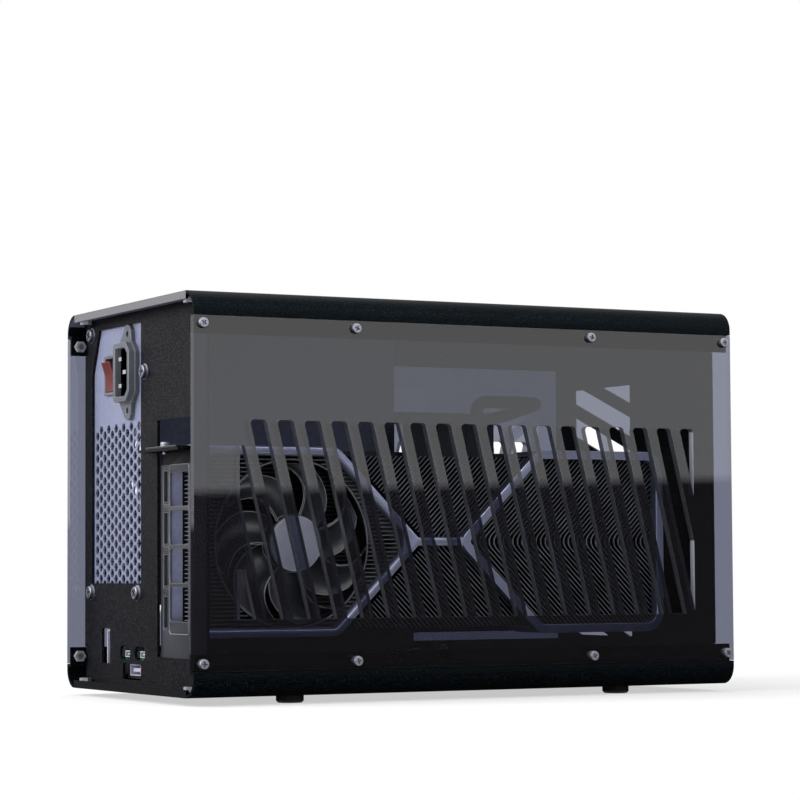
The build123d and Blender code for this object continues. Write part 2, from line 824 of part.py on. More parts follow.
psu_rotor = Pos(fan_x, sum(psu_rotor_y) / 2, fan_z) * Rot(-90, 0, 0) * psu_rotor

guard_face = Sketch()
guard_rings = [psu_fan_bore - guard_wire - k * guard_step for k in range(guard_count)]
for ring in guard_rings:
    guard_face += RegularPolygon(ring, guard_sides) - RegularPolygon(ring - guard_wire, guard_sides)
for turn in (45, 135):
    guard_face += Rot(0, 0, turn) * Rectangle(2 * (psu_fan_bore + post_inset), guard_wire)
guard_face -= Circle(guard_rings[-1] - guard_wire)
fan_guard = plate_y(Pos(fan_x, fan_z) * guard_face, psu_far, psu_far + guard_wire)

# Power supply internals on an upright board
psu_board_face = psu_board_y + psu_board_thick
psu_board = block(psu_board_x, (psu_board_y, psu_board_face), psu_board_z)
sink_y = (psu_board_face, psu_board_face + sink_tall)
sink_fin_y = (psu_board_face + sink_fin_start, psu_board_face + sink_tall)
heatsinks = []
for up in sink_up:
    z = base + psu_low + up
    sink = block(around(fan_x, sink_long), sink_y, around(z, sink_wall))
    for k in range(sink_fins):
        x = fan_x + (k - (sink_fins - 1) / 2) * sink_fin_pitch
        sink += block(around(x, sink_fin[0]), sink_fin_y, around(z, sink_fin[1]))
    heatsinks.append(sink)


def on_board(size):
    return block(around(fan_x, size[0]), (psu_board_face, psu_board_face + size[1]), around(fan_z, size[2]))


transformer = on_board(core_size) + on_board(winding_size)
capacitors = []
for x in around(fan_x, can_apart):
    can = rod_y(can_radius, psu_board_face, psu_board_face + can_tall, x, fan_z)
    capacitors.append(chamfer(can.edges().sort_by(Axis.Y)[-1], can_chamfer))

grommet = rod_x(outlet_radius + grommet_rim, psu_front, psu_front + psu_wall, *outlet)
grommet += rod_x(outlet_radius - shaft_play, psu_front - 2 * psu_wall, psu_front, *outlet)
grommet -= rod_x(outlet_radius - psu_wall, psu_front - 4 * psu_wall, psu_front + 4 * psu_wall, *outlet)

# Card bracket: two slots wide, ports in one column, vent windows in the other, a tab bent out over the ledge
bracket_y = (bracket_edge - bracket_wide, bracket_edge)
tab_z = lifted(ledge_z, ledge_z + bracket_sheet)
face_tall = tab_z[1] - base - bracket_foot
bracket_face = Pos(sum(bracket_y) / 2, tab_z[1] - face_tall / 2) * Rectangle(bracket_wide, face_tall)
port_y = board_face - port_thick / 2
for z in port_z:
    bracket_face -= Pos(port_y, base + z) * Rectangle(port_thick + 2 * fit_gap, port_tall + 2 * fit_gap)
vent = RectangleRounded(window_y[1] - window_y[0], window_tall, window_corner)
for z in window_z:
    bracket_face -= Pos(sum(window_y) / 2, base + z) * vent
card_bracket = plate_x(bracket_face, bracket_out, bracket_in)
tab = block((rear_out - ledge_reach + fit_gap, bracket_in), bracket_y, tab_z)
bracket_screws = []
for y in bracket_screw_y:
    tab -= rod_z(screw_hole, tab_z[0] - sheet, tab_z[1] + sheet, tab_screw_x, y)
    bolt = screw(pan_head_radius, pan_head, screw_radius, bracket_sheet + 2 * sheet)
    bracket_screws.append(Pos(tab_screw_x, y, tab_z[1]) * bolt)
card_bracket += tab

display_ports = []
for z in port_z:
    shell_x = (bracket_out, bracket_out + port_deep)
    shell = block(shell_x, around(port_y, port_thick), around(base + z, port_tall))
    shell -= block(
        (bracket_out - port_shell, bracket_out + port_deep - port_floor),
        around(port_y, port_thick - 2 * port_shell),
        around(base + z, port_tall - 2 * port_shell),
    )
    shell += block(
        (bracket_out + 2 * port_shell, bracket_out + port_deep - port_floor / 2),
        around(port_y, port_tongue[0]),
        around(base + z, port_tongue[1]),
    )
    display_ports.append(shell)

# Card board with its edge connector and latch hook
board_low = base + finger_top
board_x = (bracket_in + fit_gap, socket_x[1] + arm_wide)
board_outline = Polygon(
    (board_x[0], board_low),
    (finger_x[0], board_low),
    (finger_x[0], base + finger_low + finger_bevel),
    (finger_x[0] + finger_bevel, base + finger_low),
    (finger_x[1] - finger_bevel, base + finger_low),
    (finger_x[1], base + finger_low + finger_bevel),
    (finger_x[1], board_low),
    (finger_x[1] + board_drop, board_low),
    (finger_x[1] + board_drop, base + card_bottom + frame_wall),
    (board_x[1], base + card_bottom + frame_wall),
    (board_x[1], base + card_top - board_drop),
    (board_x[0], base + card_top - board_drop),
    align=None,
)
key_gap = Pos(finger_x[0] + key_along, base + finger_low) * Rectangle(key_wide, 2 * key_tall)
card_board = plate_y(board_outline - key_gap, board_face, board_back)
chip_y = (fin_back + base_plate, board_face)
chip_x = (card_start + chip_along[0], card_start + chip_along[1])
gpu_package = block(chip_x, chip_y, around(base + card_mid, chip_tall))

# Card cooler: base plate, heat pipes, level fins round the front fan and chevron fins over the rest
frame_low = base + card_bottom
frame_high = base + card_top
mid_z = base + card_mid
inner_low = frame_low + frame_wall
inner_high = frame_high - frame_wall
base_plate_x = (card_start + base_plate_along[0], card_start + base_plate_along[1])
base_plate_z = (inner_low + plate_gap, inner_high - plate_gap)
card_base = block(base_plate_x, (fin_back, fin_back + base_plate), base_plate_z)
fin_front = card_face + arm_depth
pocket = card_fan_tip + card_fan_room
front_fan_z = mid_z - front_fan_drop
fan_rim = rod_y(pocket + fan_ring, fin_front, pocket_floor, front_fan_x, front_fan_z)
fan_rim -= rod_y(pocket, fin_front - fit_gap, pocket_floor + fit_gap, front_fan_x, front_fan_z)
fan_fins = [fan_rim]
fin_count = int((inner_high - inner_low - 2 * plate_gap) / fan_fin_pitch)
for k in range(fin_count + 1):
    z = inner_low + plate_gap + fin_thick + k * fan_fin_pitch
    start = card_start + fan_fin_start
    end = left_vertex - abs(z - mid_z) - arm_wide
    outline = [(start, fin_back), (end, fin_back), (end, fin_front)]
    reach = min(abs(z - front_fan_z), abs(z + fin_thick - front_fan_z))
    if reach < fan_clear:
        half = math.sqrt(fan_clear ** 2 - reach ** 2)
        right = min(front_fan_x + half, end - fin_thick)
        left = max(front_fan_x - half, start + fin_thick)
        outline += [(right, fin_front), (right, pocket_floor), (left, pocket_floor), (left, fin_front)]
    outline.append((start, fin_front))
    fan_fins.append(plate_z(Polygon(*outline, align=None), z, z + fin_thick))


chevrons = []
leg_reach = (inner_high - inner_low) / 2 - 2 * fin_thick
fins_end = card_end - frame_wall - fit_gap
fin_shift = fin_thick * math.sqrt(2)
field_size = (card_long, inner_high - inner_low - 2 * fit_gap)
fin_field = Pos(fins_end - card_long / 2, mid_z) * RectangleRounded(*field_size, frame_corner - frame_wall)


def leg(vertex, start, up):
    return [(vertex + rise, mid_z + up * rise) for rise in (start, leg_reach)]


def nose(vertex):
    middle = vertex + fin_bend * math.sqrt(2)
    angles = [math.radians(turn) for turn in (45, 15, -15, -45)]
    return [(middle - fin_bend * math.cos(a), mid_z + fin_bend * math.sin(a)) for a in angles]


def chevron_plate(line):
    back = [(x + fin_shift, z) for x, z in reversed(line)]
    return plate_y(Polygon(*line, *back, align=None) & fin_field, fin_front, fin_back)


vertex = left_vertex - 2 * leg_reach + 2 * arm_wide
while vertex < fins_end - fin_least:
    start = (left_vertex + arm_wide - vertex) / 2
    if start > 0:
        chevrons += [chevron_plate(leg(vertex, start, 1)), chevron_plate(leg(vertex, start, -1))]
    else:
        chevrons.append(chevron_plate([leg(vertex, 0, 1)[1], *nose(vertex), leg(vertex, 0, -1)[1]]))
    vertex += chevron_pitch

heat_pipes = []
for z in pipe_z:
    pipe = RectangleRounded(pipe_thick, pipe_wide, pipe_thick / 2 - fit_gap / 3)
    pipe = Pos(fin_back + pipe_thick / 2, base + z) * pipe
    heat_pipes.append(plate_x(pipe, base_plate_x[1], fins_end))

# Card frame: a loop open to the bracket and a closed loop at the far end, whose points meet at a short bridge
def loop_outline(tip, end):
    shoulder = tip + math.copysign(card_tall / 2, end - tip)
    high_end = [(shoulder, frame_high), (end, frame_high)]
    low_end = [(end, frame_low), (shoulder, frame_low)]
    outline = Polygon((tip, mid_z), *high_end, *low_end, align=None)
    return fillet(outline.vertices().sort_by_distance((tip, mid_z, 0))[1:3], arm_bend)


left_loop = loop_outline(left_vertex, card_start)
right_loop = loop_outline(right_vertex, card_end)
right_loop = fillet(right_loop.vertices().sort_by_distance((right_vertex, mid_z, 0))[-2:], frame_corner)
right_loop = fillet(right_loop.vertices().sort_by_distance((right_vertex, mid_z, 0))[0], right_point)
left_hollow = offset(left_loop, -arm_wide, kind=Kind.INTERSECTION)
left_hollow += Pos(card_start, mid_z) * Rectangle(4 * arm_wide, card_tall - 2 * arm_wide)
right_hollow = offset(right_loop, -arm_wide, kind=Kind.INTERSECTION)
web = arm_wide * math.sqrt(2) + left_web
web_zone = Pos(left_vertex - web / 2, mid_z) * Rectangle(web, card_tall)
front_face = left_loop - left_hollow + (left_loop & web_zone)
front_face += right_loop - right_hollow
bridge = Rectangle(right_vertex - left_vertex + 2 * arm_wide, arm_wide)
front_face += Pos((left_vertex + right_vertex) / 2, mid_z) * bridge
wall_zone = Pos(card_end - frame_corner / 2, mid_z) * Rectangle(frame_corner, card_tall)
for z in (frame_low + frame_wall / 2, frame_high - frame_wall / 2):
    wall_zone += Pos(0, z) * Rectangle(length, frame_wall)
wall_face = left_loop + (right_loop - offset(right_loop, -frame_wall, kind=Kind.INTERSECTION))
card_frame = plate_y(front_face, card_face, fin_front)
card_frame = chamfer(card_frame.faces().sort_by(Axis.Y)[0].edges(), frame_chamfer)
card_frame += plate_y(wall_face & wall_zone, fin_front, frame_back)

# Back plate with the opening of the rear fan and three arms to its motor
back_y = (board_back, board_back + back_plate)
back_x = (bracket_in + back_plate_start, card_end)
back_face = RectangleRounded(back_x[1] - back_x[0], card_tall - plate_gap, frame_corner)
back_face = Pos(sum(back_x) / 2, mid_z) * back_face
back_face -= Pos(rear_fan_x, mid_z) * Circle(pocket)
fan_arm = Rectangle(card_strut, pocket + card_fan_room, align=(Align.CENTER, Align.MIN))
card_spider = Circle(card_fan_hub)
for k in range(3):
    card_spider += Rot(0, 0, 90 + 120 * k) * fan_arm
card_back_plate = plate_y(back_face + Pos(rear_fan_x, mid_z) * card_spider, *back_y)

# Card fans
front_motor_y = pocket_floor - motor_plate
front_rotor_y = (card_face + plate_gap, front_motor_y - face_gap)
front_deep = front_rotor_y[1] - front_rotor_y[0]
card_blades = (card_fan_blades, card_fan_chord, card_fan_camber, card_blade)
front_motor = rod_y(card_fan_hub, front_motor_y, pocket_floor, front_fan_x, front_fan_z)
front_motor += rod_y(fan_shaft, front_rotor_y[0] + 3 * card_blade, front_motor_y, front_fan_x, front_fan_z)
card_fan = rotor(card_fan_hub, card_fan_tip, front_deep, *card_blades)
front_rotor = Pos(front_fan_x, sum(front_rotor_y) / 2, front_fan_z) * Rot(90, 0, 0) * card_fan

rear_motor_y = board_back - motor_plate
rear_rotor_y = (fin_back + pipe_thick + plate_gap, rear_motor_y - face_gap)
rear_deep = rear_rotor_y[1] - rear_rotor_y[0]
rear_motor = rod_y(card_fan_hub, rear_motor_y, board_back, rear_fan_x, mid_z)
rear_motor += rod_y(fan_shaft, rear_rotor_y[0] + 3 * card_blade, rear_motor_y, rear_fan_x, mid_z)
back_fan = rotor(card_fan_hub, card_fan_tip, rear_deep, *card_blades)
rear_rotor = Pos(rear_fan_x, sum(rear_rotor_y) / 2, mid_z) * Rot(90, 0, 0) * back_fan

power_socket = block(socket_x, socket_y, lifted(card_top - socket_deep, socket_top))
plug_z = lifted(socket_top, socket_top + card_plug_tall)
power_plugs = [block(around(x, plug_wide), socket_y, plug_z) for x in plug_x]

# Dock board on standoffs, with the card slot, its latch and the ports
board_z = lifted(dock_top - dock_thick, dock_top)
dock_board = block(dock_x, dock_y, board_z)
standoffs = []
dock_screws = []
standoff_places = [(dock_x[0] + x, dock_y[0] + standoff_inset) for x in standoff_along]
standoff_places += [(dock_x[0] + x, dock_y[1] - standoff_inset) for x in standoff_along_far]
for x, y in standoff_places:
    dock_board -= rod_z(screw_hole, board_z[0] - sheet, board_z[1] + sheet, x, y)
    post = rod_z(standoff_radius, base + sheet, board_z[0], x, y)
    standoffs.append(post - rod_z(screw_hole, board_z[0] - standoff_bore, board_z[1], x, y))
    bolt = screw(pan_head_radius, low_head, screw_radius, dock_thick + standoff_bore - 2 * face_gap)
    dock_screws.append(Pos(x, y, board_z[1]) * bolt)

groove_mid = (board_face + board_back) / 2
slot_z = lifted(dock_top, dock_top + slot_tall)
pcie_slot = block(slot_x, around(groove_mid, slot_body), slot_z)
groove_x = (finger_x[0] - 2 * fit_gap, finger_x[1] + 2 * fit_gap)
groove_z = (base + finger_low - fit_gap, slot_z[1] + sheet)
pcie_slot -= block(groove_x, around(groove_mid, board_thick + 2 * fit_gap), groove_z)
cheek_x = (slot_x[1], latch_pivot_x + cheek_past)
cheeks = block(cheek_x, around(groove_mid, slot_body), lifted(dock_top, latch_pivot_z + cheek_above))
cheek_gap = latch_wide + 2 * fit_gap
cheek_hollow = (slot_x[1] + fit_gap, cheek_x[1] + sheet)
cheeks -= block(cheek_hollow, around(groove_mid, cheek_gap), lifted(dock_top + 2 * fit_gap, top))
pcie_slot += cheeks
pin_span = around(groove_mid, slot_body - 4 * fit_gap)
pcie_slot += rod_y(latch_pin, *pin_span, latch_pivot_x, base + latch_pivot_z)
latch_face = Polygon(
    (-2.6, -2.4),
    (2.6, -2.4),
    (3.2, 3.0),
    (5.4, 7.4),
    (2.2, 8.2),
    (-4.4, 7.2),
    (-4.6, 6.0),
    (-2.6, 5.4),
    align=None,
)
latch = plate_y(latch_face - Circle(latch_pin + shaft_play), -latch_wide / 2, latch_wide / 2)
latch = Pos(latch_pivot_x, groove_mid, base + latch_pivot_z) * latch

module_z = lifted(module_top - dock_thick, module_top)
module_board = block(module_x, module_y, module_z)
module_spacers = []
spacer_far_x = module_x[1] - module_spacer_inset
spacer_y = (module_y[0] + module_spacer_inset, module_y[1] - module_spacer_inset)
spacer_near_x = module_x[0] + port_long + module_spacer_radius
for x, y in ((spacer_far_x, spacer_y[0]), (spacer_far_x, spacer_y[1]), (spacer_near_x, spacer_y[1])):
    module_spacers.append(rod_z(module_spacer_radius, base + dock_top, module_z[0], x, y))


def socket(y, z, deep, wall, tongue):
    shell = block((port_front, port_front + deep), y, z)
    hollow_y = (y[0] + wall, y[1] - wall)
    hollow_z = (z[0] + wall, z[1] - wall)
    shell -= block((port_front - deep, port_front + deep - socket_floor), hollow_y, hollow_z)
    bar_y = around(sum(y) / 2, tongue[0])
    bar_z = around(sum(z) / 2, tongue[1])
    return shell + block((port_front + socket_floor / 2, port_front + deep - socket_floor / 2), bar_y, bar_z)


usb_c = []
for y in usb_c_y:
    shell_z = lifted(module_top, module_top + usb_c_shell[1])
    usb_c.append(socket(around(y, usb_c_shell[0]), shell_z, usb_c_long, thin_shell, usb_c_tongue))
upright_z = lifted(dock_top, dock_top + upright_shell[1])
upright_wide = around(upright_y, upright_shell[0])
upright_port = socket(upright_wide, upright_z, upright_long, port_shell, upright_tongue)
lower_z = lifted(dock_top, dock_top + lower_shell[1])
lower_port = socket(around(lower_y, lower_shell[0]), lower_z, port_long, thin_shell, lower_tongue)

dock_socket_z = lifted(dock_top, dock_top + dock_socket_tall)
dock_socket = block(dock_socket_x, dock_socket_y, dock_socket_z)
dock_plug_z = (dock_socket_z[1], dock_socket_z[1] + dock_plug_tall)
dock_plug = block(dock_socket_x, dock_socket_y, dock_plug_z)


# Cables inside the box: straight runs with large arcs from the power supply to the plugs
def cable(radius, points, bends):
    path = FilletPolyline(*points, radius=bends)
    start = Plane(origin=path @ 0, z_dir=path % 0)
    return sweep(start * Circle(radius), path)


inside = psu_front - cable_start
plug_y = sum(socket_y) / 2
plug_top = plug_z[1]
loop_x, loop_y, loop_up = card_cable_loop
turn_x = socket_x[1] + loop_x
run_z = base + outlet_z + card_cable_above
points = (
    (plug_x[0], plug_y, plug_top),
    (plug_x[0], plug_y, plug_top + card_cable_rise),
    (turn_x, plug_y + loop_y, plug_top + card_cable_rise + loop_up),
    (turn_x, outlet_y, run_z),
    (inside, outlet_y, run_z),
)
card_cables = cable(card_cable, points, list(card_cable_bends))
dock_cables = []
for aside in dock_cable_across:
    x = sum(dock_socket_x) / 2
    y = outlet_y + aside
    z = base + outlet_z - dock_cable_drop
    points = ((inside, y, z), (x, y, z), (x, y, dock_plug_z[1]))
    dock_cables.append(cable(dock_cable, points, [dock_cable_bend]))

os.makedirs("parts", exist_ok=True)
save("top_cover", top_cover)
save("bottom_cover", bottom_cover)
save("rear_panel", rear_panel)
save("front_panel", front_panel)
save("right_side_panel", right_panel)
save("left_side_panel", left_panel)
save("right_panel_screws", *right_screws)
save("left_panel_screws", *left_screws)
save("right_panel_nuts", *right_nuts)
save("left_panel_nuts", *left_nuts)
save("cover_screws", *cover_screws)
save("rubber_feet", *feet)
save("psu_tray", psu_tray)
save("psu_lid", psu_lid)
save("psu_mains_inlet", mains_inlet)
save("psu_inlet_pins", *inlet_pins)
save("psu_switch_bezel", switch_bezel)
save("psu_rocker", rocker)
save("psu_fan_frame", psu_fan_frame)
save("psu_fan_rotor", psu_rotor)
save("psu_fan_guard", fan_guard)
save("psu_board", psu_board)
save("psu_heatsinks", *heatsinks)
save("psu_transformer", transformer)
save("psu_capacitors", *capacitors)
save("psu_screws", *psu_screws)
save("psu_cable_grommet", grommet)
save("card_bracket", card_bracket)
save("bracket_screws", *bracket_screws)
save("card_board", card_board)
save("gpu_package", gpu_package)
save("card_frame", card_frame)
save("card_fan_fins", *fan_fins)
save("card_chevron_fins", *chevrons)
save("card_base_plate", card_base)
save("card_heat_pipes", *heat_pipes)
save("card_back_plate", card_back_plate)
save("card_front_fan_motor", front_motor)
save("card_front_fan_rotor", front_rotor)
save("card_rear_fan_motor", rear_motor)
save("card_rear_fan_rotor", rear_rotor)
save("card_display_ports", *display_ports)
save("card_power_socket", power_socket)
save("card_power_plug", *power_plugs)
save("card_power_cables", card_cables)
save("dock_board", dock_board)
save("dock_standoffs", *standoffs)
save("dock_screws", *dock_screws)
save("pcie_slot", pcie_slot)
save("pcie_latch", latch)
save("module_board", module_board)
save("module_spacers", *module_spacers)
save("usb_c_ports", *usb_c)
save("upright_port", upright_port)
save("lower_port", lower_port)
save("dock_power_socket", dock_socket)
save("dock_power_plug", dock_plug)
save("dock_power_cables", *dock_cables)
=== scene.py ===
import bmesh
import bpy
import math
from mathutils import Matrix, Vector


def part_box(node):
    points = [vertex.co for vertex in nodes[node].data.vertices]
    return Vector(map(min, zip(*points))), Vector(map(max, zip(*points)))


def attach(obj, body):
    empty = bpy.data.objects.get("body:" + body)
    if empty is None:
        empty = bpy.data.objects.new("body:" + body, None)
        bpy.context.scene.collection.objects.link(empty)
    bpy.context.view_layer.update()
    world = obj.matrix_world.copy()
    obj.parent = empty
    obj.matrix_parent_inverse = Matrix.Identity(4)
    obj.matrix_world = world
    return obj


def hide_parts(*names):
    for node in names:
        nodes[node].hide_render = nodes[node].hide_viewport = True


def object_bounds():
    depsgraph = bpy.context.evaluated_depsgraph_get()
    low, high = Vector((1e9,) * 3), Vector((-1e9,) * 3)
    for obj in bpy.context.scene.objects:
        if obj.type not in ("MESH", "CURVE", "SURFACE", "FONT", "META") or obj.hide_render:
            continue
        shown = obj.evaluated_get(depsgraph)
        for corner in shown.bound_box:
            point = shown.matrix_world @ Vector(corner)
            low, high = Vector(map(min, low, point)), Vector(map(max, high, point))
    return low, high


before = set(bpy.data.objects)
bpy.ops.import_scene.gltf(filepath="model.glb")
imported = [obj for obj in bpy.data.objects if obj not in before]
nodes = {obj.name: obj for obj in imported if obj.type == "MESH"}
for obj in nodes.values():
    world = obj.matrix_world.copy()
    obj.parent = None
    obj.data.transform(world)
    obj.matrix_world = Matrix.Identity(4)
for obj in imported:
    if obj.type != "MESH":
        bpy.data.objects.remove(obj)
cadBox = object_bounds()
print("frame loaded:", len(nodes), "nodes")


class Wire:  # a shader socket that takes part in plain sums
    def __init__(self, tree, socket=None):
        self.tree = tree
        self.socket = socket

    def make(self, kind, settings=None, sockets=None, out=0):
        made = self.tree.nodes.new(kind)
        for key, value in (settings or {}).items():
            setattr(made, key, value)
        for key, value in (sockets or {}).items():
            if isinstance(value, Wire):
                self.tree.links.new(value.socket, made.inputs[key])
            else:
                made.inputs[key].default_value = value
        return Wire(self.tree, made.outputs[out])

    def calc(self, operation, first, second=0.0):
        return self.make("ShaderNodeMath", {"operation": operation}, {0: first, 1: second})

    def __add__(self, other):
        return self.calc("ADD", self, other)

    def __radd__(self, other):
        return self.calc("ADD", other, self)

    def __sub__(self, other):
        return self.calc("SUBTRACT", self, other)

    def __rsub__(self, other):
        return self.calc("SUBTRACT", other, self)

    def __mul__(self, other):
        return self.calc("MULTIPLY", self, other)

    def __rmul__(self, other):
        return self.calc("MULTIPLY", other, self)

    def __lt__(self, other):
        return self.calc("LESS_THAN", self, other)

    def __gt__(self, other):
        return self.calc("GREATER_THAN", self, other)

    def __abs__(self):
        return self.calc("ABSOLUTE", self)


cloudSpan = (0.35, 0.65)  # middle of a noise's range, spread over the whole of it
turnedFrom = 0.5  # share of a direction from which a face counts as turned that way


def parts(at):
    split = at.make("ShaderNodeSeparateXYZ", sockets={0: at})
    return [Wire(at.tree, out) for out in split.socket.node.outputs]


def facing(at):  # the surface's direction
    return parts(at.make("ShaderNodeNewGeometry", out=1))


def noise(at, scale, detail=3.0, stretch=None):
    if stretch:
        at = at.make("ShaderNodeMapping", sockets={"Vector": at, "Scale": stretch})
    return at.make("ShaderNodeTexNoise", sockets={"Vector": at, "Scale": scale, "Detail": detail})


def ramp(value, low, high):  # 0 below low, 1 above high
    return value.make("ShaderNodeMapRange", sockets={0: value, 1: low, 2: high})


def within(place, low, high):
    return (place > low) * (place < high)


def vary(mask, first, second):  # first where the mask is 0, second where it is 1
    return first + (second - first) * mask


def mix(mask, first, second):  # the same for colours, and for wires that carry one
    pair = [c if isinstance(c, Wire) else (*c, 1.0) for c in (first, second)]
    return mask.make("ShaderNodeMix", {"data_type": "RGBA"}, {0: mask, 6: pair[0], 7: pair[1]}, 2)


def clouded(mask, dark, pale):
    return mix(ramp(mask, *cloudSpan), dark, pale)


def mottled(mask, colour, times):  # a colour, and up to so many times itself
    return mix(mask, colour, [times * c for c in colour])


def bumpOf(height, depth, strength=1.0):
    return height.make("ShaderNodeBump", sockets={"Height": height, "Distance": depth, "Strength": strength})


def newMaterial(name, **plain):  # plain values go straight on the shader's own sockets
    material = bpy.data.materials.new(name)
    material.use_nodes = True
    tree = material.node_tree
    shader = tree.nodes["Principled BSDF"]
    for key, value in plain.items():
        shader.inputs[key.replace("_", " ")].default_value = value
    at = Wire(tree).make("ShaderNodeTexCoord", out=3)
    return material, shader, at


def feed(shader, at, **wires):
    for key, wire in wires.items():
        at.tree.links.new(wire.socket, shader.inputs[key.replace("_", " ")])


def show(share, first, second):  # a blend of two shaders as the surface
    shown = share.make("ShaderNodeMixShader", sockets={0: share, 1: first, 2: second})
    share.tree.links.new(shown.socket, share.tree.nodes["Material Output"].inputs["Surface"])


# Finishes. A grain is in metres, clouds, grains, patches and streaks count to a metre, colours are linear.
coverCoat = {
    "dark": (0.0006, 0.0008, 0.0010),
    "pale": (0.010, 0.015, 0.019),
    "paleSpan": (0.48, 0.74),  # part of the grain's range over which it turns pale
    "grain": 0.0007,
    "depth": 0.00010,
    "bump": 0.9,
    "patches": 18,
    "rough": (0.42, 0.58),
    "IOR": 1.14,
    "sheen": (0.55, 0.80, 1.0, 1.0),
    "endFace": 0.1572,  # beyond this distance along X are the cut ends of the sheet
    "endHalf": 0.0755,  # half the width of the lips
    # painted light: the top cover's cut ends are pale where the rear light falls on them, the bottom cover's
    # ends stay dark
    "topEndLit": (0.16, 0.155, 0.16),
    "lowEnd": (0.008, 0.008, 0.009),
    "endTurn": (0.10, 0.12),  # heights between which the two meet
    "endWander": 0.004,
    "lip": (0.075, 0.085, 0.125),  # underside of the top cover beyond the end panels, painted bluish-grey as light on the black coat
    "lipFrom": (0.1487, 0.19),  # distance along X, height
}
panelCoat = {
    **coverCoat,
    "dark": (0.0022, 0.0023, 0.0029),
    "pale": (0.036, 0.037, 0.045),
    "IOR": 1.16,
    "sheen": (1.0, 1.0, 1.0, 1.0),
}
pressNut = {
    "from": (0.1490, 0.0665, 0.0069),  # nearest corner of a nut, and of its mirror images about the middle
    "to": (0.1560, 0.0740, 0.0096),
    "middle": 0.104,
    "colour": (0.34, 0.34, 0.36),
    "metallic": 0.4,
}


def nutMask(x, y, z):  # bare press-in nuts near the corners of the end panels
    s = pressNut
    tall = s["middle"] - abs(z - s["middle"])
    spans = zip((abs(x), abs(y), tall), s["from"], s["to"])
    return math.prod(within(*span) for span in spans)


def makePowderCoat(name, s):
    material, shader, at = newMaterial(name, IOR=s["IOR"], Specular_Tint=s["sheen"])
    x, y, z = parts(at)
    grain = noise(at, 1 / s["grain"], detail=2.0)
    patches = noise(at, s["patches"])
    colour = mix(ramp(grain, *s["paleSpan"]), s["dark"], s["pale"])
    # painted light on the cut ends: pale on the top cover, dark on the bottom one
    end = (abs(x) > s["endFace"]) * (abs(y) < s["endHalf"])
    upper = ramp(z + s["endWander"] * patches, *s["endTurn"])
    colour = mix(end, colour, mix(upper, s["lowEnd"], s["topEndLit"]))
    lipAlong, lipHeight = s["lipFrom"]
    # painted light: the downward faces of the top cover's lips turn bluish-grey
    lip = (facing(at)[2] < -turnedFrom) * (abs(x) > lipAlong) * (z > lipHeight)
    colour = mix(lip, colour, mottled(patches, s["lip"], times=1.2))
    nut = nutMask(x, y, z)
    colour = mix(nut, colour, mottled(patches, pressNut["colour"], times=1.3))
    feed(
        shader,
        at,
        Base_Color=colour,
        Roughness=vary(patches, *s["rough"]),
        Metallic=pressNut["metallic"] * nut,
        Normal=bumpOf(grain * (1 - nut), s["depth"], s["bump"]),
    )
    return material


acrylic = {
    "colour": (0.006, 0.006, 0.007),
    "hazed": (0.010, 0.010, 0.011),
    "clouds": 9,
    "rough": (0.004, 0.010),
    "IOR": 2.25,
    "through": (0.79, 0.82, 0.95),
    "solid": 0.51,
    "edge": (0.066, 0.071, 0.084),
    "edgePale": (0.135, 0.143, 0.165),
    "edgeMetal": 0.35,
    "edgeSolid": 0.92,
    "edgeRough": 0.4,
    "frostGrains": 900,
    # painted light: the upright wall where the slot field ends at +X, pale as if light carried in the sheet
    # glows there
    "paintedGlowWall": (0.72, 0.74, 0.84),
    "endSpan": (0.1310, 0.1345),  # where the slot field is cut off upright
    "endFacing": 0.99,
    "polishedFrom": 0.1573,  # the two ends of the panel are polished like its faces
}


def makeSmokedAcrylic(name):  # polished faces, frosted saw-cut edges, one upright end wall painted pale as glowing light
    s = acrylic
    material, shader, at = newMaterial(name, IOR=s["IOR"])
    haze = noise(at, s["clouds"], detail=4.0)
    frost = noise(at, s["frostGrains"])
    aside, outward, up = facing(at)
    along = parts(at)[0]
    cut = (abs(outward) < turnedFrom) * (abs(along) < s["polishedFrom"])
    # painted light: mask of the upright end wall that is painted pale
    paintedGlowWall = (abs(aside) > s["endFacing"]) * within(along, *s["endSpan"])
    face = mix(haze, s["colour"], s["hazed"])
    edge = mix(paintedGlowWall, clouded(frost, s["edge"], s["edgePale"]), s["paintedGlowWall"])
    feed(
        shader,
        at,
        Base_Color=mix(cut, face, edge),
        Roughness=vary(haze, *s["rough"]) + s["edgeRough"] * cut,
        Metallic=s["edgeMetal"] * (cut - paintedGlowWall),
    )
    clear = at.make("ShaderNodeBsdfTransparent", sockets={0: (*s["through"], 1.0)})
    show(vary(cut, s["solid"], s["edgeSolid"]), clear, Wire(at.tree, shader.outputs[0]))
    return material


